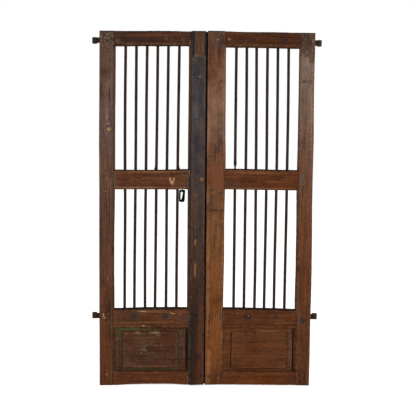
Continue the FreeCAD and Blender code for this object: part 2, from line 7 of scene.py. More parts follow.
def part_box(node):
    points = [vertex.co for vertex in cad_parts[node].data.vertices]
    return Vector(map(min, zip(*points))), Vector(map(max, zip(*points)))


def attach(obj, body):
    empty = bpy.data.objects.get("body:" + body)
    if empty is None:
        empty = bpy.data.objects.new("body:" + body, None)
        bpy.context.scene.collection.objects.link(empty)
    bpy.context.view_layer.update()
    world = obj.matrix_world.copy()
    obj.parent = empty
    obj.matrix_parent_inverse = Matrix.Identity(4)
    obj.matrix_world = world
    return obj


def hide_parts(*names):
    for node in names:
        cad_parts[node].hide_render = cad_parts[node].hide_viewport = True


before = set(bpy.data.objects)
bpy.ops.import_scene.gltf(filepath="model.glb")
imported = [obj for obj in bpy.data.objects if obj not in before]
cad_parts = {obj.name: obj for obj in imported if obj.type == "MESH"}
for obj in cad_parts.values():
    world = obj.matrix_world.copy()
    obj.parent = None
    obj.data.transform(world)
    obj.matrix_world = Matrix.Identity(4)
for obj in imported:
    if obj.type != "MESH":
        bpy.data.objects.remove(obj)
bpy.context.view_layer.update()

# Studio: a pale floor under the door, a white surround and two soft lamps in front of it.
# The camera stands a little left of the middle, level with the mid rail, and looks slightly down.
# The studio is set out in metres, the pieces after it in millimetres.
MM = 0.001
IMAGE_SIDE = 416
FOCAL_PIXELS = 679.4
SENSOR = 36.0
CAMERA_PLACE = (-0.060, -3.55175, 1.1181)
CAMERA_PITCH, CAMERA_YAW, CAMERA_ROLL = 3.103, 1.147, 0.526


def aim_camera(place, pitch, yaw, roll):
    """Where a camera stands and how it is turned, with its angles in degrees."""
    pitch, yaw, roll = (math.radians(angle) for angle in (pitch, yaw, roll))
    ahead = Vector((math.sin(yaw) * math.cos(pitch), math.cos(yaw) * math.cos(pitch), -math.sin(pitch)))
    level = Vector((math.cos(yaw), -math.sin(yaw), 0))
    upright = level.cross(ahead)
    right = math.cos(roll) * level + math.sin(roll) * upright
    up = math.cos(roll) * upright - math.sin(roll) * level
    turn = Matrix((right, up, -ahead)).transposed().to_4x4()
    return Matrix.Translation(Vector(place)) @ turn


def add_object(name, data):
    thing = bpy.data.objects.new(name, data)
    bpy.context.scene.collection.objects.link(thing)
    return thing


camera_data = bpy.data.cameras.new("camera")
camera_data.sensor_width = SENSOR
camera_data.lens = FOCAL_PIXELS / IMAGE_SIDE * SENSOR
camera = add_object("camera", camera_data)
camera.matrix_world = aim_camera(CAMERA_PLACE, CAMERA_PITCH, CAMERA_YAW, CAMERA_ROLL)
bpy.context.scene.camera = camera
bpy.context.scene.view_settings.view_transform = "Standard"


def feed(tree, socket, value):
    """Link a socket to the one given, or set its plain value; a colour may leave out its alpha."""
    if isinstance(value, bpy.types.NodeSocket):
        tree.links.new(value, socket)
    elif socket.type == "RGBA" and len(value) == 3:
        socket.default_value = (*value, 1)
    else:
        socket.default_value = value


def add_node(tree, kind, settings=None, **inputs):
    """A shader node with its settings, and its inputs linked or set."""
    node = tree.nodes.new("ShaderNode" + kind)
    for key, value in (settings or {}).items():
        setattr(node, key, value)
    for key, value in inputs.items():
        feed(tree, node.inputs[key.replace("_", " ")], value)
    return node


def maths(tree, operation, first, second=0.0, clamp=False):
    node = add_node(tree, "Math", {"operation": operation, "use_clamp": clamp})
    feed(tree, node.inputs[0], first)
    feed(tree, node.inputs[1], second)
    return node.outputs[0]


def seen_directly(tree):
    """One for rays that look straight at the surround, or at it in metal or glass."""
    path = add_node(tree, "LightPath").outputs
    mirrored = maths(tree, "MAXIMUM", path["Is Glossy Ray"], path["Is Transmission Ray"])
    return maths(tree, "MAXIMUM", path["Is Camera Ray"], mirrored)


WHITE = (1, 1, 1)
GLOW_STRENGTH = 0.40
world = bpy.data.worlds.new("surround")
bpy.context.scene.world = world
world.use_nodes = True
tree = world.node_tree
tree.nodes.clear()
white = add_node(tree, "Background", Color=WHITE, Strength=1.0)
glow = add_node(tree, "Background", Color=WHITE, Strength=GLOW_STRENGTH)
either = add_node(tree, "MixShader", Fac=seen_directly(tree))
tree.links.new(glow.outputs[0], either.inputs[1])
tree.links.new(white.outputs[0], either.inputs[2])
add_node(tree, "OutputWorld", Surface=either.outputs[0])

FLOOR_REACH = 40.0
FLOOR_Z = -0.006
FLOOR_WHITE = (0.86, 0.86, 0.85)
FLOOR_LIFT = 0.68
floor_mesh = bpy.data.meshes.new("floor")
ways = ((-1, -1), (1, -1), (1, 1), (-1, 1))
floor_mesh.from_pydata([(x * FLOOR_REACH, y * FLOOR_REACH, FLOOR_Z) for x, y in ways], [], [(0, 1, 2, 3)])
floor = add_object("floor", floor_mesh)
floor_paint = bpy.data.materials.new("floor_paint")
floor_paint.use_nodes = True
tree = floor_paint.node_tree
tree.nodes.clear()
matt = add_node(tree, "BsdfDiffuse", Color=FLOOR_WHITE)
lift = add_node(tree, "Emission", Color=WHITE, Strength=seen_directly(tree))
share = add_node(tree, "MixShader", Fac=FLOOR_LIFT)
tree.links.new(matt.outputs[0], share.inputs[1])
tree.links.new(lift.outputs[0], share.inputs[2])
both = add_node(tree, "AddShader")
tree.links.new(matt.outputs[0], both.inputs[0])
tree.links.new(share.outputs[0], both.inputs[1])
add_node(tree, "OutputMaterial", Surface=both.outputs[0])
floor_mesh.materials.append(floor_paint)

LAMP_TARGET = (0, 0, 0.95)
LAMP_SIZE = 1.8
for name, place, power in (("lamp_right", (2.2, -4.0, 2.2), 112), ("lamp_left", (-2.2, -4.0, 2.2), 56)):
    lamp_data = bpy.data.lights.new(name, "AREA")
    lamp_data.shape = "SQUARE"
    lamp_data.size = LAMP_SIZE
    lamp_data.energy = power
    lamp = add_object(name, lamp_data)
    lamp.location = place
    lamp.rotation_mode = "QUATERNION"
    lamp.rotation_quaternion = (Vector(LAMP_TARGET) - Vector(place)).to_track_quat("-Z", "Y")

# Hinge stiles: the outer upright of each leaf, a full-height plank of old hardwood.
# The inner front arris is planed to a chamfer, the other edges have worn soft, and the rails are tenoned in.
CHAMFER, CHAMFER_DIRT = 7.0, 0.9
OUTER_ROUND, ARRIS_ROUND, BACK_ROUND, BACK_OUTER_ROUND = 2.6, 1.4, 1.6, 1.8
HINGE_STILE_SEED = {"left": 11.3, "right": 27.9}
HINGE_STILE_SWEEP = {"spacing": 7.0, "bite": 1.7, "end_round": 5.0}
# Beside each arris a narrow band of the flat wears too, by a share of what the arris loses
WORN_BAND, WORN_BAND_SHARE = 1.2, 0.55
# How a sawn end rounds off: share of the rounded length, then how far the outline draws in
END_CURVE = [(0.0, 1.0), (0.12, 0.55), (0.35, 0.25), (0.65, 0.08), (1.0, 0.0)]
# Sizes of bites and nicks along an arris, of plane marks and dents on a face, and of teeth round a gouge
BITE_SIZE, NICK_SIZE, PLANED_SIZE, DENT_SIZE, GOUGE_RIM_SIZE = 70, 17, 95, 30, 9
# An arris loses this share of its bite everywhere and more in places; noise above a level cuts a nick
LEAST_LOSS, BITE_LOSS, NICK_LEVEL, NICK_LOSS = 0.25, 0.8, 0.62, 7
PLANED_DEEP, DENT_DEEP = 0.45, 0.25
GOUGE_RAGGED, GOUGE_STEEP, FACES_FRONT = 0.7, 2.5, -0.3


def soften_outline(corners, spacing):
    """Points round a closed outline, counter-clockwise: place, outward direction, arris, wear and dirt.
    A corner is x, y, radius and freedom to wear, then how dark a line of dirt runs along it."""
    points = []
    count = len(corners)
    for index, (x, y, radius, wear, *line) in enumerate(corners):
        dirt = line[0] if line else 0.0
        here = Vector((x, y))
        before = (Vector(corners[index - 1][:2]) - here).normalized()
        after = (Vector(corners[(index + 1) % count][:2]) - here).normalized()
        convex = before.cross(after) < 0
        half = before.angle(after) / 2
        centre = here + (before + after).normalized() * (radius / math.sin(half))
        start = here + before * (radius / math.tan(half))
        end = here + after * (radius / math.tan(half))
        for share in (0, 1 / 3, 2 / 3, 1):
            spoke = (start.lerp(end, share) - centre).normalized()
            outward = spoke if convex else -spoke
            points.append((centre + spoke * radius, outward, 1.0 if convex else 0.0, wear, dirt))
        x_next, y_next, radius_next, wear_next = corners[(index + 1) % count][:4]
        there = Vector((x_next, y_next))
        beyond = (Vector(corners[(index + 2) % count][:2]) - there).normalized()
        half_next = (-after).angle(beyond) / 2
        finish = there - after * (radius_next / math.tan(half_next))
        length = (finish - end).length
        outward = Vector((after.y, -after.x))
        near = min(WORN_BAND, length / 4)
        steps = max(1, round((length - 2 * near) / spacing))
        for step in range(steps + 1):
            travel = near + (length - 2 * near) * step / steps
            edge = WORN_BAND_SHARE if step in (0, steps) else 0.0
            points.append((end + after * travel, outward, edge, min(wear, wear_next), 0.0))
    return points


def ripple(place, size, seed):
    """Smooth noise from 0 to 1 with features about that size in millimetres."""
    return 0.5 + 0.5 * noise.noise(place / size + Vector((seed, seed * 1.7, seed * 2.3)))


def wander(points, at):
    """Smooth value at a place along a run of (place, value) points."""
    if at <= points[0][0]:
        return points[0][1]
    if at >= points[-1][0]:
        return points[-1][1]
    after = next(index for index, (place, value) in enumerate(points) if place > at)
    before = after - 1
    (start, value), (end, next_value) = points[before], points[after]
    earlier, later = points[max(0, before - 1)], points[min(len(points) - 1, after + 1)]
    reach = end - start
    slope = (next_value - earlier[1]) / (end - earlier[0]) * reach
    next_slope = (later[1] - value) / (later[0] - start) * reach
    t = (at - start) / reach
    bend = slope * (t**3 - 2 * t**2 + t) + next_slope * (t**3 - t**2)
    return value + (next_value - value) * (3 * t**2 - 2 * t**3) + bend


def out_of_true(low, high, left, right, bottom, top):
    """How a board strays from its drawn outline: its sides lean in x, its ends and edges rise in z."""

    def stray(here):
        across = (here.x - low.x) / (high.x - low.x)
        up = (here.z - low.z) / (high.z - low.z)
        lean = wander(left, here.z) * (1 - across) + wander(right, here.z) * across
        rise = wander(bottom, here.x) * (1 - up) + wander(top, here.x) * up
        return Vector((lean, 0, rise))

    return stray


def box_mm(node):
    """The low and high corners of a solid in millimetres."""
    return [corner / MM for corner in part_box(node)]


def new_piece(name, verts, faces, body, node, slot, **shares):
    """A mesh piece from points in millimetres, with its point attributes, riding in place of its CAD node."""
    mesh = bpy.data.meshes.new(name)
    mesh.from_pydata([Vector(p) * MM for p in verts], [], faces)
    for key, values in shares.items():
        mesh.attributes.new(key, "FLOAT", "POINT").data.foreach_set("value", values)
    mesh.validate()
    mesh.shade_smooth()
    piece = add_object(name, mesh)
    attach(piece, body)
    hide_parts(node)
    return piece


def tube_faces(rows, ring, capped=True):
    """Faces of a tube between rows of points that run round it, with its ends closed where it is capped."""
    faces = []
    for row in range(rows - 1):
        for index in range(ring):
            a, b = row * ring + index, row * ring + (index + 1) % ring
            faces.append((a, b, b + ring, a + ring))
    if capped:
        last = (rows - 1) * ring
        faces += [range(ring)[::-1], range(last, last + ring)]
    return faces


def worn_plank(corners, ends, upright, seed, warp, spacing, bite, end_round, joint=0.0, gouges=()):
    """A plank swept between its ends, with bitten arrises, hand-planed faces and rounded end corners.
    A dark joint line reaches in from the ends. A gouge is x, z, half width, half height and depth."""
    outline = soften_outline(corners, spacing)
    low, high = ends
    length = high - low - 2 * end_round
    steps = max(2, round(length / spacing))
    rows = [(low + share * end_round, inset * end_round) for share, inset in END_CURVE]
    rows += [(low + end_round + length * step / steps, 0.0) for step in range(1, steps)]
    rows += [(high - share * end_round, inset * end_round) for share, inset in reversed(END_CURVE)]
    verts = []
    shares = {"arris": [], "seam": [], "turned": []}
    for along, inset in rows:
        for place, outward, edge, wear, dirt in outline:
            here = Vector((place.x, place.y, along)) if upright else Vector((along, place.x, place.y))
            out = Vector((outward.x, outward.y, 0)) if upright else Vector((0, outward.x, outward.y))
            nick = max(0.0, ripple(here, NICK_SIZE, seed + 5) - NICK_LEVEL) * NICK_LOSS
            loss = edge * bite * (LEAST_LOSS + BITE_LOSS * ripple(here, BITE_SIZE, seed) ** 2 + nick)
            dent = PLANED_DEEP * ripple(here, PLANED_SIZE, seed + 2)
            dent += DENT_DEEP * ripple(here, DENT_SIZE, seed + 3)
            here = here - out * (wear * (loss + dent) + inset)
            for x, z, half_width, half_height, depth in gouges:
                apart = math.hypot((here.x - x) / half_width, (here.z - z) / half_height)
                apart += GOUGE_RAGGED * (ripple(here, GOUGE_RIM_SIZE, seed + 8) - 0.5)
                if apart < 1 and out.y < FACES_FRONT:
                    here.y += depth * min(1.0, GOUGE_STEEP * (1 - apart))
            verts.append(here + warp(here))
            shares["arris"].append(edge * wear)
            end_line = max(0.0, 1 - min(along - low, high - along) / joint) if joint else 0.0
            shares["seam"].append(max(dirt, end_line))
            shares["turned"].append(1 - abs(out.y))
    faces = tube_faces(len(rows), len(outline))
    if not upright:
        # The quads of a lying board split along their other diagonal
        faces = [(*face[1:], face[0]) if len(face) == 4 else face for face in faces]
    return verts, faces, shares


def new_group(name, inputs, outputs):
    """A shader node group: inputs are name, kind and default value, outputs are the names of its values."""
    tree = bpy.data.node_groups.new(name, "ShaderNodeTree")
    for label, kind, value in inputs:
        socket = tree.interface.new_socket(name=label, in_out="INPUT", socket_type="NodeSocket" + kind)
        if value is not None:
            socket.default_value = value
    for label in outputs:
        tree.interface.new_socket(name=label, in_out="OUTPUT", socket_type="NodeSocketFloat")
    given = tree.nodes.new("NodeGroupInput")
    made = tree.nodes.new("NodeGroupOutput")
    return tree, given.outputs, made.inputs


def vector_maths(tree, operation, first, second):
    node = add_node(tree, "VectorMath", {"operation": operation})
    feed(tree, node.inputs[0], first)
    feed(tree, node.inputs[1], second)
    return node.outputs[0]


def mix_colour(tree, factor, under, over, blend="MIX"):
    node = add_node(tree, "Mix", {"data_type": "RGBA", "blend_type": blend})
    for index, value in ((0, factor), (6, under), (7, over)):
        feed(tree, node.inputs[index], value)
    return node.outputs[2]


def noise_value(tree, vector, scale, detail=2.0, roughness=0.5, distortion=0.0):
    settings = {"Scale": scale, "Detail": detail, "Roughness": roughness, "Distortion": distortion}
    return add_node(tree, "TexNoise", Vector=vector, **settings).outputs[0]


def span(tree, value, low, high, low_out=0.0, high_out=1.0):
    """A value from low to high, as one from low_out to high_out."""
    node = add_node(tree, "MapRange")
    for socket, number in zip(node.inputs, (value, low, high, low_out, high_out)):
        feed(tree, socket, number)
    return node.outputs[0]


# Grain of weathered timber along Z: broad bands, fine fibres, open pores, drying checks and rubbed-in dirt
grain, given, made = new_group(
    "timber_grain",
    [
        ("Vector", "Vector", None),
        ("Band Depth", "Float", 0.5),
        ("Fibre Depth", "Float", 0.4),
        ("Mottle Depth", "Float", 0.3),
    ],
    ["Shade", "Dirt", "Checks", "Pale Flecks", "Dark Flecks", "Height"],
)
place = given["Vector"]
stretched = vector_maths(grain, "MULTIPLY", place, (1, 1, 0.07))
drawn_out = vector_maths(grain, "MULTIPLY", place, (1, 1, 0.025))
split = vector_maths(grain, "MULTIPLY", place, (1, 1, 0.02))
shifted = vector_maths(grain, "ADD", place, (0.37, 0.61, 0.83))
bands = noise_value(grain, stretched, 62, 3, 0.55, 0.6)
fibres = noise_value(grain, drawn_out, 420, 3, 0.6)
mottle = noise_value(grain, place, 95, 4, 0.62)
pores = span(grain, noise_value(grain, drawn_out, 900, 1), 0.60, 0.72)
dirt = span(grain, noise_value(grain, place, 13, 5, 0.65), 0.45, 0.72)
contour = maths(grain, "ABSOLUTE", maths(grain, "SUBTRACT", noise_value(grain, split, 38, 2), 0.5))
broken = span(grain, noise_value(grain, place, 7, 3), 0.48, 0.6)
checks = maths(grain, "MULTIPLY", span(grain, contour, 0.0, 0.035, 1.0, 0.0), broken)
pale = span(grain, noise_value(grain, place, 165, 2, 0.6), 0.63, 0.74)
dark = span(grain, noise_value(grain, shifted, 120, 2, 0.6), 0.60, 0.74)
shade = 1.0
for value, depth in ((bands, "Band Depth"), (fibres, "Fibre Depth"), (mottle, "Mottle Depth")):
    swing = maths(grain, "MULTIPLY", maths(grain, "SUBTRACT", value, 0.5), given[depth])
    shade = maths(grain, "ADD", swing, shade)
shade = maths(grain, "SUBTRACT", shade, maths(grain, "MULTIPLY", pores, 0.18))
relief = maths(grain, "ADD", maths(grain, "MULTIPLY", fibres, 0.6), maths(grain, "MULTIPLY", bands, 0.5))
cut = maths(grain, "ADD", maths(grain, "MULTIPLY", pores, 0.35), maths(grain, "MULTIPLY", checks, 0.8))
height = maths(grain, "SUBTRACT", relief, cut)
for socket, value in zip(made, (shade, dirt, checks, pale, dark, height)):
    grain.links.new(value, socket)

# One ragged mark: a stain, chip, knot or remnant of paint at a place on the piece
mark, given, made = new_group(
    "ragged_mark",
    [
        ("Vector", "Vector", None),
        ("Centre", "Vector", (0, 0, 0)),
        ("Size", "Vector", (1, 1, 1)),
        ("Square", "Float", 0.0),
        ("Ragged", "Float", 0.6),
        ("Tooth", "Float", 120.0),
        ("Edge", "Float", 0.35),
    ],
    ["Mask"],
)
offset = vector_maths(mark, "SUBTRACT", given["Vector"], given["Centre"])
ratio = vector_maths(mark, "DIVIDE", offset, given["Size"])
radial = add_node(mark, "VectorMath", {"operation": "LENGTH"}, Vector=ratio).outputs["Value"]
parts = add_node(mark, "SeparateXYZ", Vector=ratio).outputs
boxy = maths(mark, "MAXIMUM", maths(mark, "ABSOLUTE", parts["X"]), maths(mark, "ABSOLUTE", parts["Z"]))
toward = maths(mark, "MULTIPLY", maths(mark, "SUBTRACT", boxy, radial), given["Square"])
apart = maths(mark, "ADD", radial, toward)
tooth = noise_value(mark, given["Vector"], given["Tooth"], 3, 0.6)
jag = maths(mark, "MULTIPLY", maths(mark, "SUBTRACT", tooth, 0.5), given["Ragged"])
level = maths(mark, "SUBTRACT", 1.0, maths(mark, "ADD", apart, maths(mark, "MULTIPLY", jag, 2.0)))
mark.links.new(maths(mark, "DIVIDE", level, given["Edge"], clamp=True), made["Mask"])

# The front of the leaf, where its marks lie, and how deep they reach
LEAF_FACE = (-51.75, 9)


def paint_mark(
    tree, under, vector, face, x, z, half_width, half_height, tint, strength,
    ragged=0.7, tooth=120.0, square=0.0, edge=0.5, deep=None, y=None,
):
    """One mark over a colour: its place and half sizes in mm, tint and strength, how ragged its rim is,
    how fine the teeth, how square and how soft. It lies on the face unless its depth and y are given."""
    face_y, face_deep = face
    spot = add_node(
        tree,
        "Group",
        {"node_tree": mark},
        Vector=vector,
        Centre=(x * MM, (y or face_y) * MM, z * MM),
        Size=(half_width * MM, (deep or face_deep) * MM, half_height * MM),
        Square=square,
        Ragged=ragged,
        Tooth=tooth,
        Edge=edge,
    )
    return mix_colour(tree, maths(tree, "MULTIPLY", spot.outputs["Mask"], strength), under, tint)


def new_material(name):
    """A material, its node tree, its surface shader and the place on the piece."""
    material = bpy.data.materials.new(name)
    material.use_nodes = True
    tree = material.node_tree
    return material, tree, tree.nodes["Principled BSDF"], add_node(tree, "TexCoord").outputs["Object"]


SOOTED = (0.42, 0.40, 0.42)
PALE_FLECK = (0.30, 0.18, 0.10)
# Near black for checks and dark flecks, and for the painted shade on faces turned away from the front
HOLLOW_AND_SIDE_SHADE = (0.018, 0.011, 0.008)
# Dark dirt in the rail joints, and painted shade in the panel quirks, grooves and gaps
SEAM_DIRT_AND_SHADE = (0.012, 0.008, 0.006)
# Upward faces darken towards near black: settled dirt and painted shade
SETTLED_DIRT_AND_TOP_SHADE = (0.014, 0.010, 0.008)


def old_timber(
    name, upright, reach, tones, rubbed, marks=(), face=LEAF_FACE,
    depths=(1.5, 0.9, 1.1), grime=0.6, top_dirt_and_shade=0.85, scuffs=None,
):
    """Weathered wood. Tones are (share of the length, colour) from the low to the high end of its reach.
    Rubbed colours the worn arrises and scuffs the scratches. Grime is how thick dirt lies; top_dirt_and_shade
    is how dark upward faces turn, as settled dirt and painted shade; depths are those of the bands, the
    fibres and the mottling."""
    material, tree, shader, place = new_material(name)

    def lay(under, mask, strength, over):
        return mix_colour(tree, maths(tree, "MULTIPLY", mask, strength), under, over)

    def attribute(key):
        return add_node(tree, "Attribute", {"attribute_name": key}).outputs["Fac"]

    lengthwise = place
    if not upright:
        lengthwise = add_node(tree, "Mapping", Vector=place, Rotation=(0, math.radians(90), 0)).outputs[0]
    grain_depths = dict(zip(("Band_Depth", "Fibre_Depth", "Mottle_Depth"), depths))
    figure = add_node(tree, "Group", {"node_tree": grain}, Vector=lengthwise, **grain_depths).outputs
    axis = add_node(tree, "SeparateXYZ", Vector=place).outputs["Z" if upright else "X"]
    share = span(tree, axis, reach[0] * MM, reach[1] * MM)
    drift = maths(tree, "MULTIPLY", maths(tree, "SUBTRACT", figure["Dirt"], 0.3), 0.12)
    ramp = add_node(tree, "ValToRGB", Fac=maths(tree, "ADD", share, drift))
    stops = ramp.color_ramp.elements
    while len(stops) < len(tones):
        stops.new(0.5)
    for stop, (position, tint) in zip(stops, tones):
        stop.position = position
        stop.color = (*tint, 1)
    colour = mix_colour(tree, 1.0, ramp.outputs[0], figure["Shade"], "MULTIPLY")
    colour = lay(colour, figure["Dirt"], grime, mix_colour(tree, 1.0, colour, SOOTED, "MULTIPLY"))
    colour = lay(colour, figure["Pale Flecks"], 0.30, PALE_FLECK)
    hollows = maths(tree, "MAXIMUM", maths(tree, "MULTIPLY", figure["Dark Flecks"], 0.7), figure["Checks"])
    colour = lay(colour, hollows, 0.75, HOLLOW_AND_SIDE_SHADE)
    if scuffs:
        wavy = add_node(tree, "Mapping", Vector=place, Scale=(1, 1, 3.0)).outputs[0]
        contour = maths(tree, "ABSOLUTE", maths(tree, "SUBTRACT", noise_value(tree, wavy, 36, 3, 0.6), 0.5))
        patch = span(tree, noise_value(tree, place, 15, 3, 0.6), 0.42, 0.60)
        colour = lay(colour, span(tree, contour, 0.0, 0.035, 0.7, 0.0), patch, scuffs)
    # Faces turned away from the front are darkened towards near black: painted shade
    colour = mix_colour(tree, span(tree, attribute("turned"), 0.05, 0.5, 0.0, 0.4), colour, HOLLOW_AND_SIDE_SHADE)
    patchy = span(tree, noise_value(tree, place, 48, 3, 0.6), 0.42, 0.68)
    colour = lay(colour, attribute("arris"), patchy, rubbed)
    # Seams darken: dirt in the rail joints, and painted shade round the panels
    colour = lay(colour, attribute("seam"), 0.75, SEAM_DIRT_AND_SHADE)
    for spot in marks:
        colour = paint_mark(tree, colour, place, face, *spot)
    # Upward faces darken: settled dirt and painted shade
    up = add_node(tree, "SeparateXYZ", Vector=add_node(tree, "NewGeometry").outputs["Normal"]).outputs["Z"]
    colour = mix_colour(tree, span(tree, up, 0.22, 0.62, 0.0, top_dirt_and_shade), colour, SETTLED_DIRT_AND_TOP_SHADE)
    tree.links.new(colour, shader.inputs["Base Color"])
    tree.links.new(span(tree, figure["Shade"], 0.6, 1.4, 0.86, 0.68), shader.inputs["Roughness"])
    shader.inputs["Specular IOR Level"].default_value = 0.02
    bump = add_node(tree, "Bump", Strength=0.7, Distance=0.0012, Height=figure["Height"])
    tree.links.new(bump.outputs[0], shader.inputs["Normal"])
    return material


PALE_CHIP = (0.36, 0.23, 0.13)
RAW_WOOD = (0.50, 0.29, 0.14)
SOOT = (0.016, 0.014, 0.015)
# Rims that many marks share: how ragged, how fine the teeth, then how square and how soft
WORN_RIM = (0.5, 60, 1.0, 0.5)
FLAKING = (2.3, 240)
BLOTCH = (1.4, 75)
# How each board is coloured and marked, where a mark is as paint_mark takes it, and how its edges stray:
# left and right are (height, lean) points, bottom and top are (x, rise) points
looks, edges = {}, {}
looks["left_hinge_stile"] = dict(
    tones=[
        (0.02, (0.099, 0.032, 0.013)), (0.18, (0.107, 0.038, 0.0175)), (0.3, (0.091, 0.036, 0.019)),
        (0.45, (0.087, 0.041, 0.026)), (0.57, (0.11, 0.051, 0.034)), (0.66, (0.1, 0.051, 0.038)),
        (0.76, (0.106, 0.058, 0.046)), (0.86, (0.112, 0.06, 0.044)), (0.97, (0.092, 0.047, 0.033)),
    ],
    rubbed=(0.135, 0.06, 0.032),
    marks=[
        (-515, 1798, 32, 24, (0.062, 0.036, 0.026), 0.5, *BLOTCH),
        (-512, 1790, 32, 36, (0.19, 0.14, 0.098), 0.5, 3.6, 85),
        (-515, 1784, 28, 34, (0.026, 0.019, 0.016), 0.75, 3.8, 105),
        (-480, 1764, 4, 12, (0.27, 0.17, 0.085), 0.65, 1.4, 150),
        (-512, 1824, 44, 4.5, SOOT, 0.85, *WORN_RIM),
        (-515, 1385, 20, 85, (0.17, 0.13, 0.108), 0.32, *FLAKING),
        (-508, 1340, 26, 60, (0.036, 0.026, 0.024), 0.4, 3.4, 110),
        (-502, 1327, 12, 11, (0.34, 0.21, 0.1), 0.75, 1.3, 140),
        (-506, 1357, 13, 6, (0.26, 0.2, 0.145), 0.6, 1.3, 140),
        (-514, 1306, 6, 9, (0.24, 0.185, 0.13), 0.6, 1.3, 140),
        (-513, 1388, 8, 16, (0.23, 0.17, 0.14), 0.45, 1.4),
        (-505, 1240, 24, 60, (0.15, 0.1, 0.076), 0.3, *FLAKING),
        (-514, 1074, 5, 10, (0.19, 0.13, 0.085), 0.55, 1.3),
        (-516, 1010, 4, 4, (0.26, 0.19, 0.15), 0.7, 0.9),
        (-527, 366, 4.5, 13, PALE_CHIP, 0.8, 0.9),
        (-520, 352, 10, 6, (0.29, 0.18, 0.1), 0.65, 1.3, 160),
        (-515, 342, 10, 7, SOOT, 0.6, 1.0),
        (-506, 565, 5, 14, (0.2, 0.125, 0.085), 0.45, *FLAKING),
        (-511, 54, 5.5, 6.5, (0.32, 0.18, 0.09), 0.85, 0.6),
        (-490, 350, 5, 60, (0.075, 0.054, 0.042), 0.4, 1.6, 110),
    ],
)
looks["right_hinge_stile"] = dict(
    tones=[
        (0.02, (0.093, 0.032, 0.013)), (0.2, (0.09, 0.032, 0.0135)), (0.42, (0.108, 0.04, 0.018)),
        (0.58, (0.112, 0.048, 0.026)), (0.74, (0.134, 0.073, 0.05)), (0.88, (0.156, 0.099, 0.074)),
        (0.98, (0.072, 0.038, 0.026)),
    ],
    rubbed=(0.19, 0.095, 0.055),
    marks=[
        (513, 342, 19, 20, (0.024, 0.022, 0.026), 0.85, 1.0, 85),
        (512, 1650, 24, 32, (0.2, 0.155, 0.12), 0.35, *FLAKING),
        (521, 1718, 23, 10, (0.058, 0.045, 0.04), 0.65, 1.2, 90),
        (498, 1266, 20, 30, (0.06, 0.037, 0.028), 0.65, 1.0, 70),
        (497, 1581, 16, 10, (0.034, 0.028, 0.029), 0.8, 1.1),
        (510, 1645, 26, 20, (0.075, 0.058, 0.052), 0.5, 1.9),
        (524, 1576, 14, 9, (0.036, 0.029, 0.03), 0.8, 1.1),
        (508, 1778, 52, 74, (0.062, 0.03, 0.0185), 0.9, 1.0, 60),
        (500, 1800, 26, 22, (0.034, 0.024, 0.02), 0.7, 1.5, 90),
        (524, 1778, 13, 16, (0.028, 0.021, 0.019), 0.65, 1.6),
        (540, 1786, 7, 13, (0.2, 0.115, 0.07), 0.65, 1.2),
        (495, 1078, 10, 34, (0.078, 0.066, 0.06), 0.55, 1.9, 100),
        (500, 1042, 9, 22, (0.046, 0.036, 0.032), 0.6, *BLOTCH),
        (522, 1480, 15, 190, (0.2, 0.14, 0.1), 0.3, 1.6, 60),
        (537, 1450, 5, 290, (0.25, 0.155, 0.098), 0.55, 1.6, 100),
        (480, 1500, 4, 250, (0.24, 0.16, 0.115), 0.55, 1.6, 100),
        (512, 1825, 44, 4.5, SOOT, 0.8, *WORN_RIM),
    ],
)
edges["left_hinge_stile"] = dict(
    left=[
        (0, 1.0), (160, 0.4), (470, -1.2), (760, -2.0), (1060, -1.9), (1270, -2.8), (1500, -1.8),
        (1830, -1.2),
    ],
    right=[
        (0, 2.0), (300, 2.5), (447, 3.3), (560, 1.9), (750, 1.5), (930, 3.6), (1000, 4.8), (1375, 5.4),
        (1580, 6.8), (1830, 7.8),
    ],
    bottom=[(-549, -3.7), (-476, -3.5)],
    top=[(-549, -3.5), (-476, -3.0)],
)
edges["right_hinge_stile"] = dict(
    left=[
        (0, -4.0), (452, -5.9), (600, -4.3), (864, -4.0), (1001, -5.6), (1178, -4.4), (1282, -3.3),
        (1591, -2.8), (1830, -3.5),
    ],
    right=[
        (0, 0.6), (239, 2.6), (320, 2.1), (500, 4.6), (764, 4.1), (972, 2.0), (1178, 2.5), (1281, 4.0),
        (1485, 1.4), (1590, 1.0), (1830, 3.4),
    ],
    bottom=[(476, -1.2), (549, -1.9)],
    top=[(476, -0.8), (549, -1.3)],
)


def fit_board(node, section, ends, upright, seed, warp, **sweep):
    """A board of the frame swept from its section, riding in place of its solid."""
    leaf = node.split("_")[0]
    verts, faces, shares = worn_plank(section, ends, upright, seed, warp, **sweep)
    board = new_piece(f"{node}_plank", verts, faces, f"{leaf}_leaf", node, "frame_wood", **shares)
    board.data.materials.append(old_timber(f"{node}_wood", upright, ends, **looks[node]))


for leaf in ("left", "right"):
    node = f"{leaf}_hinge_stile"
    low, high = box_mm(node)
    chamfered = [
        (low.x, low.y, OUTER_ROUND, 1.0),
        (high.x - CHAMFER, low.y, ARRIS_ROUND, 1.0, CHAMFER_DIRT),
        (high.x, low.y + CHAMFER, ARRIS_ROUND, 1.0),
        (high.x, high.y, BACK_ROUND, 1.0),
        (low.x, high.y, BACK_OUTER_ROUND, 1.0),
    ]
    if leaf == "right":
        chamfered = [(low.x + high.x - x, *rest) for x, *rest in reversed(chamfered)]
    warp = out_of_true(low, high, **edges[node])
    fit_board(node, chamfered, (low.z, high.z), True, HINGE_STILE_SEED[leaf], warp, **HINGE_STILE_SWEEP)

# Meeting stiles: the inner uprights, rabbeted on the front where the two leaves close on each other.
# The right one shows its face, rubbed to a lighter orange brown; the left one is behind the cover strip.
RABBET_X, RABBET_Y = {"left": 5.0, "right": 1.6}, -39.75
LIP_ROUND, RABBET_ROUND, MEETING_BACK_ROUND = 1.2, 0.3, 0.6
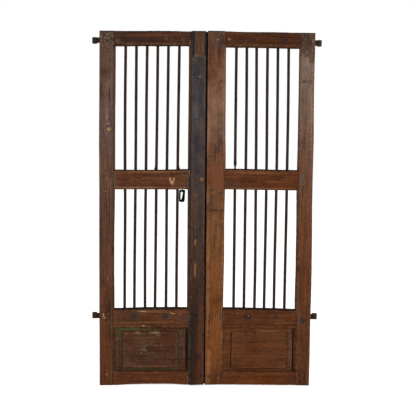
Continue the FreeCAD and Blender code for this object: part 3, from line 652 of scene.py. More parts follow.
# The meeting faces slope so that the leaves clear each other: x at the rabbet, then at the back
MEETING_FACES = {"left": (-0.05, -1.45), "right": (0.85, -0.55)}
MEETING_STILE_SEED = {"left": 43.1, "right": 58.6}
MEETING_STILE_SWEEP = {"spacing": 7.0, "bite": 1.6, "end_round": 5.0}
COVERED_SPLAY = 13.5
# Near black painted shade in the channel between the leaves, on the meeting faces and the rabbet floor
CHANNEL_SHADE = (0.006, 0.004, 0.003)
looks["left_meeting_stile"] = dict(
    tones=[(0.05, (0.08, 0.034, 0.018)), (0.5, (0.075, 0.036, 0.022)), (0.97, (0.072, 0.038, 0.027))],
    rubbed=(0.15, 0.07, 0.038),
    marks=[
        (-84, 1575, 4, 190, (0.125, 0.066, 0.04), 0.6, 1.2, 60),
        (-86, 1105, 12, 245, (0.04, 0.032, 0.03), 0.85, 0.5, 60, 0.9, 0.5, 30),
        (-84, 640, 4, 225, (0.085, 0.046, 0.032), 0.5, 1.3, 60),
        # Near black painted shade beside the left panel's shrunk gap
        (-93, 187, 9, 122, (0.02, 0.013, 0.01), 0.95, 0.3, 120, 0.9, 0.3, 50),
        (-82, 195, 3, 105, (0.12, 0.105, 0.1), 0.5, 1.7, 110),
        # Painted shade down the channel between the leaves
        (0, 915, 8, 3000, CHANNEL_SHADE, 1.0, 0.0, 120, 0.0, 0.3, 26),
    ],
)
looks["right_meeting_stile"] = dict(
    tones=[
        (0.02, (0.137, 0.045, 0.014)), (0.17, (0.185, 0.063, 0.019)), (0.29, (0.142, 0.05, 0.017)),
        (0.4, (0.156, 0.066, 0.026)), (0.56, (0.12, 0.045, 0.021)), (0.66, (0.146, 0.06, 0.032)),
        (0.73, (0.194, 0.096, 0.057)), (0.82, (0.138, 0.067, 0.04)), (0.92, (0.106, 0.043, 0.021)),
        (0.98, (0.094, 0.047, 0.031)),
    ],
    rubbed=(0.215, 0.105, 0.052),
    marks=[
        (62, 1800, 44, 38, (0.072, 0.039, 0.026), 0.7, 1.2, 60),
        (76, 1784, 19, 32, (0.03, 0.023, 0.023), 0.8, 1.1, 75),
        (52, 1787, 5, 5, (0.3, 0.185, 0.13), 0.8),
        (48, 1829, 46, 4.5, SOOT, 0.75, *WORN_RIM),
        (50, 1335, 42, 85, (0.1, 0.058, 0.045), 0.32, 1.6, 50),
        (52, 1094, 40, 80, (0.155, 0.053, 0.021), 0.4, 1.2, 50, 0.6),
        (68, 1272, 15, 38, (0.05, 0.032, 0.026), 0.85, 0.8, 70),
        (57, 1226, 18, 26, (0.05, 0.031, 0.023), 0.85, 0.8, 80),
        (26, 1194, 25, 10, (0.066, 0.036, 0.022), 0.8, 0.8, 90),
        (32, 1021, 27, 10, (0.066, 0.036, 0.025), 0.8, 0.8, 80),
        (73, 1003, 21, 12, (0.056, 0.035, 0.026), 0.8, 0.8, 80),
        (6, 1280, 6, 90, (0.26, 0.15, 0.1), 0.5, 1.2, 90),
        (8, 985, 8, 60, (0.25, 0.13, 0.072), 0.5, 1.2, 90),
        (40, 925, 38, 16, (0.07, 0.038, 0.023), 0.5, 1.5, 70),
        (46, 916, 46, 4.0, (0.028, 0.016, 0.011), 0.85, 1.0, 110, 0.5),
        (50, 965, 32, 40, (0.09, 0.046, 0.026), 0.5, 1.5, 60),
        (88, 919, 6, 8, (0.035, 0.02, 0.014), 0.8, 0.8),
        (60, 1470, 34, 120, (0.21, 0.112, 0.066), 0.3, *FLAKING),
        (88, 1490, 8, 270, (0.185, 0.122, 0.092), 0.45, 1.6, 100),
        (8, 1400, 6, 150, (0.24, 0.14, 0.095), 0.35, 1.4, 90),
        (62, 1340, 11, 130, (0.08, 0.042, 0.029), 0.35, *BLOTCH),
        (20, 120, 14, 110, (0.26, 0.115, 0.045), 0.55, 1.4, 45),
        (14, 470, 10, 300, (0.23, 0.11, 0.05), 0.5, 1.4, 40),
        (60, 60, 20, 40, (0.055, 0.028, 0.016), 0.5, 1.5),
        (14, 26, 14, 32, (0.2, 0.11, 0.054), 0.5, 2.6),
        (80, 370, 8, 34, (0.052, 0.032, 0.022), 0.7, 1.2),
        (84, 52, 8, 30, (0.045, 0.026, 0.018), 0.7, 1.2),
        # Painted shade down the channel between the leaves
        (0, 915, 3, 3000, CHANNEL_SHADE, 1.0, 0.0, 120, 0.0, 0.3, 26),
    ],
)
edges["left_meeting_stile"] = dict(
    left=[(0, -1.4), (455, -1.7), (860, -2.1), (1270, -2.3), (1530, -1.0), (1830, -1.4)],
    right=[(0, 0)],
    bottom=[(-98, 0.6), (-21, 2.4)],
    top=[(0, -0.9)],
)
edges["right_meeting_stile"] = dict(
    left=[(0, 0)],
    right=[
        (0, 0.9), (456, 0.9), (655, 3.2), (760, 2.9), (864, 2.1), (999, 3.9), (1174, 6.2), (1276, 4.6),
        (1379, 3.4), (1583, 2.8), (1830, 1.6),
    ],
    bottom=[(25, 0.6), (90, 2.0)],
    top=[(25, 2.4), (65, 2.9), (90, 2.2)],
)
for leaf, side in (("left", -1), ("right", 1)):
    node = f"{leaf}_meeting_stile"
    low, high = box_mm(node)
    inner = low.x if leaf == "left" else high.x
    near_face, far_face = MEETING_FACES[leaf]
    splay = COVERED_SPLAY if leaf == "left" else CHAMFER
    lip = side * RABBET_X[leaf]
    rabbeted = [
        (inner, low.y + CHAMFER, ARRIS_ROUND, 1.0),
        (inner - side * splay, low.y, ARRIS_ROUND, 1.0),
        (lip, low.y, LIP_ROUND, 0.5),
        (lip, RABBET_Y, RABBET_ROUND, 0.0),
        (near_face, RABBET_Y, RABBET_ROUND, 0.0),
        (far_face, high.y, MEETING_BACK_ROUND, 0.0),
        (inner, high.y, BACK_ROUND, 1.0),
    ]
    if leaf == "right":
        rabbeted.reverse()
    warp = out_of_true(low, high, **edges[node])
    fit_board(node, rabbeted, (low.z, high.z), True, MEETING_STILE_SEED[leaf], warp, **MEETING_STILE_SWEEP)

# Rails: top, mid, lock and bottom cross pieces of each leaf, tenoned and pegged into the stiles.
# Their front arrises are chamfered towards the openings, and the lips ride over the stile chamfers.
RAIL_ROUND, LIP_GAP = 2.4, 0.4
RAIL_SEED, RAIL_SEED_STEP = 70.2, 9
RAIL_SWEEP = {"spacing": 5.0, "bite": 1.5, "end_round": 1.6, "joint": 4.0}
# Which front arrises are chamfered: the lower, the upper
RAIL_CHAMFERS = {
    "top_rail": (True, False),
    "mid_rail": (True, True),
    "lock_rail": (True, True),
    "bottom_rail": (False, True),
}
looks["left_top_rail"] = dict(
    tones=[(0.0, (0.06, 0.026, 0.0165)), (0.5, (0.062, 0.022, 0.0112)), (1.0, (0.057, 0.023, 0.013))],
    rubbed=(0.12, 0.058, 0.033),
    marks=[
        (-290, 1806, 180, 10, (0.098, 0.038, 0.018), 0.45, 1.4, 50),
        (-330, 1780, 140, 8, (0.026, 0.015, 0.011), 0.75, 1.7, 90),
        (-285, 1764, 175, 3.5, (0.15, 0.082, 0.044), 0.32, 2.6, 230),
        (-455, 1772, 18, 14, (0.125, 0.09, 0.062), 0.4, *FLAKING),
        (-213, 1790, 13, 9, (0.11, 0.084, 0.066), 0.36, 2.2, 150),
        (-125, 1781, 15, 12, (0.12, 0.08, 0.054), 0.36, 2.4, 170),
        (-140, 1776, 10, 7, SOOT, 0.6, 1.2),
        (-88, 1768, 5, 26, (0.24, 0.14, 0.07), 0.6, 1.6, 160),
        (-285, 1826, 210, 4.5, SOOT, 0.85, *WORN_RIM),
    ],
)
looks["left_mid_rail"] = dict(
    tones=[
        (0.0, (0.097, 0.036, 0.019)), (0.4, (0.099, 0.033, 0.0152)), (0.8, (0.098, 0.036, 0.0165)),
        (1.0, (0.084, 0.04, 0.023)),
    ],
    rubbed=(0.19, 0.088, 0.042),
    marks=[
        (-330, 1095, 130, 4, (0.04, 0.02, 0.012), 0.65, 1.9, 130),
        (-250, 1078, 120, 8, (0.15, 0.058, 0.022), 0.6, 1.6, 70),
        (-350, 1050, 100, 5, (0.05, 0.026, 0.016), 0.6, 1.8, 110),
        (-300, 1114, 160, 7, (0.25, 0.118, 0.052), 0.55, 2.2, 200),
        (-330, 1031, 150, 5, (0.23, 0.12, 0.064), 0.55, 2.0, 180),
        (-176, 1096, 15, 13, (0.028, 0.02, 0.017), 0.75, 1.0, 90),
        (-186, 1074, 4.4, 14, RAW_WOOD, 0.8, 0.8, 200),
        (-167, 1072, 4.2, 13, RAW_WOOD, 0.75, 0.9, 190),
        (-176.5, 1058, 12, 7.5, RAW_WOOD, 0.85, 0.8, 210),
        (-174, 1048, 8, 4, (0.34, 0.19, 0.09), 0.75, 1.2, 220),
        (-176.5, 1067, 2.8, 9, RAW_WOOD, 0.7, 1.0, 200),
        (-104, 1050, 9, 16, (0.038, 0.03, 0.028), 0.75, 1.2),
        (-110, 1106, 18, 6, (0.045, 0.028, 0.02), 0.55, *BLOTCH),
        (-86, 1106, 4, 22, (0.32, 0.185, 0.09), 0.65, 1.5, 170),
        (-472, 1070, 7, 48, (0.115, 0.088, 0.07), 0.5, *FLAKING),
        (-478, 1060, 5, 45, (0.045, 0.033, 0.028), 0.6, 1.4),
    ],
)
looks["left_lock_rail"] = dict(
    tones=[(0.0, (0.114, 0.046, 0.022)), (0.5, (0.094, 0.033, 0.015)), (1.0, (0.096, 0.034, 0.0155))],
    rubbed=(0.19, 0.085, 0.04),
    marks=[
        (-325, 387, 26, 4.5, PALE_CHIP, 0.9, 1.2, 160),
        (-170, 378, 15, 4.5, (0.36, 0.19, 0.085), 0.8, 1.4, 150),
        (-128, 374, 20, 4, (0.24, 0.11, 0.05), 0.35, 1.6),
        (-270, 385, 60, 4, (0.2, 0.1, 0.05), 0.6, 1.8, 160),
        (-368, 362, 36, 28, (0.056, 0.034, 0.024), 0.7, 1.0, 90),
        (-370, 362, 28, 20, (0.036, 0.024, 0.018), 0.7, 1.0, 110),
        (-364, 364, 8, 6, (0.016, 0.013, 0.013), 0.7, 1.0),
        (-206, 360, 32, 28, (0.054, 0.033, 0.024), 0.7, 1.0, 90),
        (-208, 362, 24, 20, (0.032, 0.023, 0.018), 0.7, 1.0, 110),
        (-205, 362, 7, 6, (0.014, 0.012, 0.013), 0.7, 1.0),
        (-114, 351, 32, 17, (0.058, 0.034, 0.026), 0.6, *BLOTCH),
        (-440, 370, 30, 12, (0.062, 0.034, 0.024), 0.45, *BLOTCH),
        (-319, 311, 15, 4, (0.34, 0.18, 0.085), 0.85, 1.2, 150),
        (-84, 356, 4, 46, (0.25, 0.145, 0.075), 0.75, 1.6, 170),
        (-240, 332, 120, 8, (0.16, 0.058, 0.022), 0.5, 1.4, 60),
    ],
)
looks["left_bottom_rail"] = dict(
    tones=[(0.0, (0.114, 0.037, 0.0165)), (0.6, (0.106, 0.032, 0.0118)), (1.0, (0.082, 0.028, 0.012))],
    rubbed=(0.155, 0.066, 0.03),
    top_dirt_and_shade=0.2,
    marks=[
        (-87, 36, 5, 40, (0.22, 0.12, 0.06), 0.6, 1.8, 170),
        (-488, 30, 5, 40, (0.03, 0.016, 0.011), 0.6, 1.2),
        (-280, 30, 150, 9, (0.13, 0.048, 0.018), 0.5, 1.3, 50),
        (-300, 52, 120, 4, (0.05, 0.022, 0.012), 0.5, 1.7, 90),
    ],
)
looks["right_top_rail"] = dict(
    tones=[(0.0, (0.065, 0.021, 0.008)), (0.5, (0.056, 0.0185, 0.007)), (1.0, (0.058, 0.0205, 0.0092))],
    rubbed=(0.13, 0.058, 0.03),
    marks=[
        (110, 1790, 6, 7, (0.25, 0.155, 0.1), 0.65, 1.1, 150),
        (225, 1788, 22, 12, (0.022, 0.017, 0.018), 0.75, 1.3, 80),
        (392, 1786, 26, 12, (0.024, 0.018, 0.017), 0.75, 1.3, 80),
        (160, 1776, 90, 9, (0.046, 0.024, 0.015), 0.5, 1.6),
        (280, 1764, 170, 4, (0.125, 0.06, 0.026), 0.4, 2.1, 180),
        (285, 1826, 210, 4.5, SOOT, 0.75, *WORN_RIM),
    ],
)
looks["right_mid_rail"] = dict(
    tones=[(0.0, (0.081, 0.0285, 0.0122)), (0.5, (0.09, 0.0272, 0.0092)), (1.0, (0.092, 0.0285, 0.0105))],
    rubbed=(0.185, 0.085, 0.038),
    marks=[
        (128, 1050, 44, 17, (0.052, 0.026, 0.017), 0.65, 1.4, 60),
        (210, 1038, 60, 5, (0.04, 0.02, 0.012), 0.55, 1.8, 100),
        (260, 1030, 130, 5, (0.21, 0.1, 0.042), 0.5, 2.0, 180),
        (260, 1112, 140, 8, (0.2, 0.09, 0.038), 0.5, 2.2, 200),
        (350, 1066, 70, 7, (0.15, 0.055, 0.02), 0.5, 1.6, 80),
        (92, 1070, 5, 50, (0.06, 0.034, 0.026), 0.6, 1.3),
    ],
)
looks["right_lock_rail"] = dict(
    tones=[(0.0, (0.072, 0.024, 0.009)), (0.5, (0.076, 0.0258, 0.0105)), (1.0, (0.092, 0.0305, 0.0113))],
    rubbed=(0.165, 0.072, 0.03),
    marks=[
        (218, 354, 36, 24, (0.042, 0.022, 0.014), 0.75, 0.7, 70, 0.0, 0.8),
        (220, 364, 20, 11, (0.018, 0.011, 0.009), 0.9, 0.7, 100),
        (225, 367, 4.5, 4, (0.33, 0.24, 0.19), 0.85, 0.9, 170),
        (366, 362, 16, 11, (0.022, 0.018, 0.02), 0.9, 0.6, 90, 0.0, 0.7),
        (96, 355, 7, 40, (0.085, 0.055, 0.04), 0.6, 1.2),
        (170, 380, 60, 5, (0.16, 0.07, 0.028), 0.5, 1.9, 130),
        (400, 328, 70, 8, (0.14, 0.05, 0.018), 0.5, 1.3, 50),
    ],
)
looks["right_bottom_rail"] = dict(
    tones=[(0.0, (0.105, 0.0338, 0.012)), (0.5, (0.106, 0.0308, 0.0088)), (1.0, (0.101, 0.0312, 0.011))],
    rubbed=(0.15, 0.064, 0.027),
    top_dirt_and_shade=0.2,
    marks=[
        (105, 40, 16, 14, (0.055, 0.03, 0.018), 0.5, 1.3),
        (440, 30, 50, 18, (0.07, 0.028, 0.014), 0.5, 1.4),
    ],
)
edges["left_top_rail"] = dict(
    bottom=[(-449, -8.0), (-393, -6.2), (-286, -5.0), (-179, -3.9), (-123, -3.0)],
    top=[(-440, -3.2), (-336, -1.9), (-280, -0.5), (-174, 0.0), (-118, -1.5)],
)
edges["left_mid_rail"] = dict(
    bottom=[
        (-448, -4.4), (-340, -3.3), (-231, -2.8), (-153, -2.9), (-144, -0.5), (-104, -0.5), (-95, -3.2),
    ],
    top=[(-448, -4.0), (-391, -4.8), (-283, -3.8), (-175, -0.9), (-118, 1.7)],
)
edges["left_lock_rail"] = dict(
    bottom=[(-447, -1.0), (-102, 1.5)],
    top=[(-447, -0.4), (-395, 1.5), (-337, 4.0), (-228, 5.3), (-176, 6.4), (-102, 5.7)],
)
edges["left_bottom_rail"] = dict(
    bottom=[(-460, -3.0), (-381, 1.9), (-272, 3.8), (-162, 4.0), (-104, 0.5)],
    top=[(-447, -1.5), (-104, 0.5)],
)
edges["right_top_rail"] = dict(
    bottom=[(118, -7.3), (226, -6.7), (334, -7.7), (442, -9.1)],
    top=[(116, 1.3), (173, -0.5), (280, 0.2), (387, 0.1), (474, -0.8)],
)
edges["right_mid_rail"] = dict(
    bottom=[(116, 0.5), (225, -0.9), (334, -1.5), (438, -2.1)],
    top=[(125, 5.6), (182, 5.6), (291, 4.3), (343, 2.5), (452, 1.7)],
)
edges["right_lock_rail"] = dict(
    bottom=[(123, 1.5), (448, -1.0)],
    top=[(123, 6.3), (233, 4.8), (343, 3.3), (448, -0.4)],
)
edges["right_bottom_rail"] = dict(
    bottom=[(136, 1.9), (304, 0.5), (462, -0.6)],
    top=[(136, 1.0), (448, -1.0)],
)
# Splinters broken out of a rail: x, z, half width, half height and depth
rail_gouges = {
    "left_mid_rail": [(-176, 1064, 15, 20, 2.0)],
    "left_lock_rail": [(-329, 396, 30, 9, 3.0), (-178, 398, 24, 10, 3.0), (-318, 303, 20, 6, 2.5)],
}


def stiles_beside(leaf):
    """The stiles at the left and at the right of a leaf's openings."""
    names = [f"{leaf}_hinge_stile", f"{leaf}_meeting_stile"]
    return names if leaf == "left" else names[::-1]


rails = [(leaf, kind) for leaf in ("left", "right") for kind in RAIL_CHAMFERS]
for index, (leaf, kind) in enumerate(rails):
    node = f"{leaf}_{kind}"
    low, high = box_mm(node)
    left_stile, right_stile = stiles_beside(leaf)
    low.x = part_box(left_stile)[1].x / MM
    high.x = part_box(right_stile)[0].x / MM
    below, above = RAIL_CHAMFERS[kind]
    section = [(low.y + CHAMFER, low.z, ARRIS_ROUND, 1.0) if below else (low.y, low.z, RAIL_ROUND, 1.0)]
    section += [(high.y, low.z, BACK_ROUND, 1.0), (high.y, high.z, BACK_ROUND, 1.0)]
    if above:
        section += [(low.y + CHAMFER, high.z, ARRIS_ROUND, 1.0), (low.y, high.z - CHAMFER, ARRIS_ROUND, 1.0)]
    else:
        section.append((low.y, high.z, RAIL_ROUND, 1.0))
    if below:
        section.append((low.y, low.z + CHAMFER, ARRIS_ROUND, 1.0))
    warp = out_of_true(low, high, edges[left_stile]["right"], edges[right_stile]["left"], **edges[node])
    ends = (low.x - CHAMFER + LIP_GAP, high.x - LIP_GAP + (COVERED_SPLAY if leaf == "left" else CHAMFER))
    seed = RAIL_SEED + RAIL_SEED_STEP * index
    fit_board(node, section, ends, False, seed, warp, gouges=rail_gouges.get(node, ()), **RAIL_SWEEP)

# Fielded panels: one wide board in the lower part of each leaf, held loose in grooves.
# The raised field is cut round with a quirk; the left board keeps flakes of green paint.
FIELD_SIDE, FIELD_TOP, FIELD_BOTTOM = 44.0, 21.0, 13.0
FIELD_RISE, FIELD_SLOPE, QUIRK_WIDE, QUIRK_DEEP = 6.0, 2.8, 3.0, 3.0
MARGIN_Y, PANEL_BACK_Y, TONGUE = -37.75, -25.75, 5.0
PANEL_SEED, PANEL_SPACING = {"left": 131.5, "right": 149.2}, 6.5
# Each board has shrunk away at its right: where the open gap begins and ends, measured from the stile
SHRUNK, GAP_DEEP = {"left": (4.4, 0.0), "right": (13.0, 6.0)}, 8.0
# How sharp the quirk still is along each side, and how strong the painted shade line in it
QUIRK_SHARP = {
    "left": {"left": 0.55, "right": 0.50, "bottom": 0.45, "top": 0.12},
    "right": {"left": 1.00, "right": 0.35, "bottom": 0.70, "top": 0.20},
}
# Sizes of the uneven quirk, of the waves and dents of the face, and of the chips along the field
UNEVEN_SIZE, WAVE_SIZE, PANEL_DENT_SIZE, CHIP_SIZE = 38, 160, 24, 26
WAVE_DEEP, PANEL_DENT_DEEP, CHIP_DEEP, CHIP_REACH = 0.9, 0.5, 0.9, 0.9
# The faces lie a little inside the solid, and a worn quirk keeps this share of its depth
FACE_INSET, WORN_QUIRK, HAIR = 0.4, 0.3, 0.1
# How dark the painted shade lies in the open gap, the grooves and the quirk, and how far it spreads from the
# two last
GAP_SHADE, GROOVE_SHADE, QUIRK_SHADE, GROOVE_SPREAD, QUIRK_SPREAD = 1.2, 0.9, 0.9, 1.5, 1.6
MARGIN_FACE = (MARGIN_Y, 10)
GREEN = (0.042, 0.056, 0.021)
GREEN_BRIGHT = (0.052, 0.073, 0.025)
WORN_STREAK = (2.4, 175)
looks["left_panel"] = dict(
    tones=[
        (0.0, (0.066, 0.028, 0.0135)), (0.3, (0.077, 0.0272, 0.0122)), (0.7, (0.064, 0.0222, 0.0106)),
        (1.0, (0.069, 0.0252, 0.0118)),
    ],
    rubbed=(0.12, 0.06, 0.034),
    top_dirt_and_shade=0.1,
    scuffs=(0.12, 0.09, 0.066),
    marks=[
        (-402, 292, 90, 8.5, GREEN_BRIGHT, 0.85, 1.0, 80, 0.7),
        (-275, 290, 62, 6, GREEN, 0.55, 1.8, 90),
        (-452, 268, 12, 22, GREEN, 0.75, 1.6, 110),
        (-440, 272, 7, 14, GREEN_BRIGHT, 0.55, 1.6),
        (-458, 246, 8, 9, (0.11, 0.092, 0.03), 0.6, 1.5),
        (-336, 265, 20, 14, GREEN, 0.65, 1.9),
        (-127, 274, 9, 17, GREEN_BRIGHT, 0.7, 1.5, 100),
        (-135, 190, 7, 100, (0.055, 0.048, 0.026), 0.5, 1.4, 70),
        (-290, 80, 180, 4.5, (0.04, 0.047, 0.019), 0.75, 1.2, 60, 0.6),
        (-455, 160, 14, 85, (0.06, 0.044, 0.034), 0.45, 1.8, 100),
        (-446, 178, 2.0, 98, (0.018, 0.013, 0.01), 0.75, 0.8, 90, 0.9),
        (-110, 185, 10, 100, (0.098, 0.036, 0.02), 0.5, 1.5, 90),
        (-123, 178, 1.8, 92, (0.02, 0.015, 0.01), 0.6, 0.9, 90, 0.9),
        (-258, 274, 26, 7, (0.32, 0.21, 0.105), 0.8, 2.0, 200),
        (-352, 272, 16, 8, (0.29, 0.18, 0.09), 0.7, 2.0, 190),
        (-248, 260, 18, 6, (0.23, 0.135, 0.066), 0.6, 2.0, 180),
        (-410, 266, 14, 7, (0.2, 0.125, 0.066), 0.5, 1.9, 170),
        (-300, 246, 130, 7, (0.14, 0.062, 0.028), 0.45, *WORN_STREAK),
        (-316, 184, 22, 13, (0.14, 0.12, 0.105), 0.5, *WORN_STREAK),
        (-275, 206, 105, 5, (0.12, 0.09, 0.072), 0.4, *WORN_STREAK),
        (-270, 166, 100, 5, (0.115, 0.084, 0.066), 0.4, *WORN_STREAK),
        (-280, 120, 60, 14, (0.04, 0.022, 0.016), 0.5, 1.6, 70),
        (-285, 96, 150, 3.5, (0.2, 0.105, 0.055), 0.65, 1.5, 110),
        (-400, 112, 30, 20, (0.13, 0.05, 0.022), 0.5, 1.4),
    ],
)
looks["right_panel"] = dict(
    tones=[(0.0, (0.098, 0.0355, 0.0142)), (0.4, (0.101, 0.033, 0.0118)), (1.0, (0.088, 0.0312, 0.013))],
    rubbed=(0.14, 0.064, 0.03),
    top_dirt_and_shade=0.1,
    marks=[
        (440, 290, 5, 7, (0.07, 0.096, 0.03), 0.75, 1.0),
        (460, 290, 4, 9, (0.072, 0.102, 0.04), 0.75, 1.0),
        (450, 190, 13, 100, (0.104, 0.063, 0.045), 0.6, 1.8, 100),
        (335, 282, 85, 4, (0.22, 0.125, 0.06), 0.6, 2.0, 180),
        (300, 262, 40, 14, (0.062, 0.03, 0.018), 0.4, 1.6),
        (290, 240, 110, 14, (0.15, 0.066, 0.027), 0.35, *WORN_STREAK),
        (300, 150, 120, 30, (0.14, 0.06, 0.025), 0.3, *WORN_STREAK),
    ],
)


def lines_between(breaks, spacing):
    """The given lines with even steps between them."""
    lines = []
    for start, end in zip(breaks, breaks[1:]):
        steps = max(1, math.ceil((end - start) / spacing))
        lines += [start + (end - start) * step / steps for step in range(steps)]
    return lines + [breaks[-1]]


for leaf in ("left", "right"):
    node = f"{leaf}_panel"
    left_stile, right_stile = stiles_beside(leaf)
    x_low, x_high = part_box(left_stile)[1].x / MM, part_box(right_stile)[0].x / MM
    z_low, z_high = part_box(f"{leaf}_bottom_rail")[1].z / MM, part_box(f"{leaf}_lock_rail")[0].z / MM
    seed = PANEL_SEED[leaf]
    gap, cheek = SHRUNK[leaf]
    left, right = x_low + FIELD_SIDE, x_high - FIELD_SIDE
    bottom, top = z_low + FIELD_BOTTOM, z_high - FIELD_TOP
    # Lines of the mesh lie close on both sides of each corner
    quirk = [-QUIRK_WIDE - 0.5, -QUIRK_WIDE, -QUIRK_WIDE + 0.5, -0.4]
    steps = quirk + [0.0, 0.5, FIELD_SLOPE - 0.4, FIELD_SLOPE, FIELD_SLOPE + 0.8]
    x_breaks = [x_low - TONGUE, x_low, x_low + 3, *(left + step for step in steps)]
    x_breaks += [right - step for step in reversed(steps)]
    x_breaks += [x_high - gap, x_high - gap + 0.6, x_high - cheek, x_high - cheek + 0.6]
    x_breaks += [x_high + 1.0, x_high + TONGUE]
    z_breaks = [z_low - TONGUE, z_low, z_low + 3, *(bottom + step for step in steps)]
    z_breaks += [*(top - step for step in reversed(steps)), z_high - 3, z_high, z_high + TONGUE]
    xs, zs = lines_between(x_breaks, PANEL_SPACING), lines_between(z_breaks, PANEL_SPACING)
    verts, arris, seam = [], [], []
    for face in ("front", "back"):
        for z in zs:
            for x in xs:
                here = Vector((x, 0, z))
                reach = {"left": x - left, "right": right - x, "bottom": z - bottom, "top": top - z}
                nearest = min(reach, key=reach.get)
                inside = reach[nearest]
                sharp = QUIRK_SHARP[leaf][nearest] * (0.5 + ripple(here, UNEVEN_SIZE, seed + 5))
                border = min(x - x_low, x_high - x, z - z_low, z_high - z)
                swell = WAVE_DEEP * (ripple(here, WAVE_SIZE, seed) - 0.5)
                swell += PANEL_DENT_DEEP * (ripple(here, PANEL_DENT_SIZE, seed + 1) - 0.5)
                if face == "back":
                    verts.append(Vector((x, PANEL_BACK_Y + swell - FACE_INSET, z)))
                    arris.append(0.0)
                    # Painted shade on the back where the board goes into its groove
                    seam.append(1.0 if border < GROOVE_SPREAD else 0.0)
                    continue
                rise = FIELD_RISE * min(1.0, max(0.0, inside / FIELD_SLOPE))
                chipped = abs(inside - FIELD_SLOPE) < CHIP_REACH
                in_quirk = -QUIRK_WIDE + HAIR < inside < -HAIR
                near_quirk = -QUIRK_WIDE - 2 * HAIR < inside < 2 * HAIR + QUIRK_SPREAD * sharp
                shrunk = x_high - gap + HAIR < x < x_high - cheek + HAIR
                sunk = CHIP_DEEP * ripple(here, CHIP_SIZE, seed + 3) if chipped else 0.0
                sunk += QUIRK_DEEP * min(1.0, WORN_QUIRK + (1 - WORN_QUIRK) * sharp) if in_quirk else 0.0
                sunk += GAP_DEEP if shrunk else 0.0
                verts.append(Vector((x, MARGIN_Y + swell + FACE_INSET - rise + sunk, z)))
                arris.append(1.0 if 2 * HAIR < inside < FIELD_SLOPE + CHIP_REACH else 0.0)
                # Painted shade in and beside the quirk, along the grooves and in the shrunk gap
                dark = min(GAP_SHADE, QUIRK_SHADE * sharp) if near_quirk else 0.0
                if border < GROOVE_SPREAD and not cheek:
                    dark = GROOVE_SHADE
                seam.append(GAP_SHADE if shrunk else dark)
    warp = out_of_true(
        Vector((x_low, 0, z_low)),
        Vector((x_high, 0, z_high)),
        left=edges[left_stile]["right"],
        right=edges[right_stile]["left"],
        bottom=edges[f"{leaf}_bottom_rail"]["top"],
        top=edges[f"{leaf}_lock_rail"]["bottom"],
    )
    verts = [place + warp(place) for place in verts]
    wide, tall = len(xs), len(zs)
    half = wide * tall
    faces = []
    for row in range(tall - 1):
        for column in range(wide - 1):
            a = row * wide + column
            faces.append((a, a + 1, a + 1 + wide, a + wide))
            faces.append((half + a + wide, half + a + wide + 1, half + a + 1, half + a))
    rim = [*range(wide), *range(2 * wide - 1, half, wide)]
    rim += [*range(half - 2, half - wide - 1, -1), *range(half - 2 * wide, 0, -wide)]
    for a, b in zip(rim, rim[1:] + rim[:1]):
        faces.append((b, a, half + a, half + b))
    shares = {"arris": arris, "seam": seam, "turned": [0.0] * len(verts)}
    board = new_piece(f"{node}_board", verts, faces, f"{leaf}_leaf", node, "panel_wood", **shares)
    panel_wood = old_timber(f"{node}_wood", False, (x_low, x_high), face=MARGIN_FACE, **looks[node])
    board.data.materials.append(panel_wood)

# Pegs: short riven dowels driven through every tenon, their end grain a little proud of the stiles.
# They darken and pale unevenly as the face around them wears.
PEG_DARK, PEG_PALE = (0.075, 0.034, 0.019), (0.125, 0.058, 0.032)
PEG_GRAIN = {"Band_Depth": 0.2, "Fibre_Depth": 0.2, "Mottle_Depth": 0.8}
PEG_ROUND = 0.8
peg_wood, tree, shader, place = new_material("peg_end_grain")
figure = add_node(tree, "Group", {"node_tree": grain}, Vector=place, **PEG_GRAIN).outputs
colour = mix_colour(tree, span(tree, noise_value(tree, place, 9, 1), 0.38, 0.62), PEG_DARK, PEG_PALE)
tree.links.new(mix_colour(tree, 1.0, colour, figure["Shade"], "MULTIPLY"), shader.inputs["Base Color"])
shader.inputs["Roughness"].default_value = 0.8
shader.inputs["Specular IOR Level"].default_value = 0.2
bump = add_node(tree, "Bump", Strength=0.4, Distance=0.0006, Height=figure["Height"])
tree.links.new(bump.outputs[0], shader.inputs["Normal"])


def dress_solid(node, material, worn_edge=0.0, bluntest=30):
    """Dress a piece that keeps its solid in its material.
    Its edges are worn round where they turn by more than the bluntest angle."""
    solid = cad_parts[node]
    solid.data.materials.clear()
    solid.data.materials.append(material)
    if worn_edge:
        worn = solid.modifiers.new("worn_edges", "BEVEL")
        worn.width = worn_edge * MM
        worn.segments = 2
        worn.limit_method = "ANGLE"
        worn.angle_limit = math.radians(bluntest)


for leaf in ("left", "right"):
    dress_solid(f"{leaf}_pegs", peg_wood, PEG_ROUND)

# Bars: round wrought iron rods, let into the lock and top rails and passing through the mid rail.
# No two are quite straight or evenly thick; they are blackened, with brown rust in the pits.
BAR_SIDES, BAR_ROW, BAR_RADIUS = 14, 9, 7.4
BAR_SEED, BAR_SEED_STEP = {"left": 211.7, "right": 251.7}, 3.1
# How far a bar sways, how its thickness varies and how flat the hammer left it, and over what lengths
SWAY, THINNEST, THICKENING, FLATTENING = 1.2, 0.97, 0.06, 0.04
SWAY_SIZE, THICKENING_SIZE, FLAT_SIZE, FLATS_APART = 240, 90, 34, 9
# Two bars splay into a foot on the mid rail, each leaning to one side
SPLAYED_FEET, FOOT_SPREAD, FOOT_RISE, FOOT_SINK = {"left_bar_4": -2.4, "left_bar_6": 2.4}, 2.6, 11, 20
# One bar has a collar above a waist there: change of radius, height above the rail and spread
COLLARED_BARS = {"right_bar_1": [(1.3, 28, 9), (-3.6, 6, 10)]}
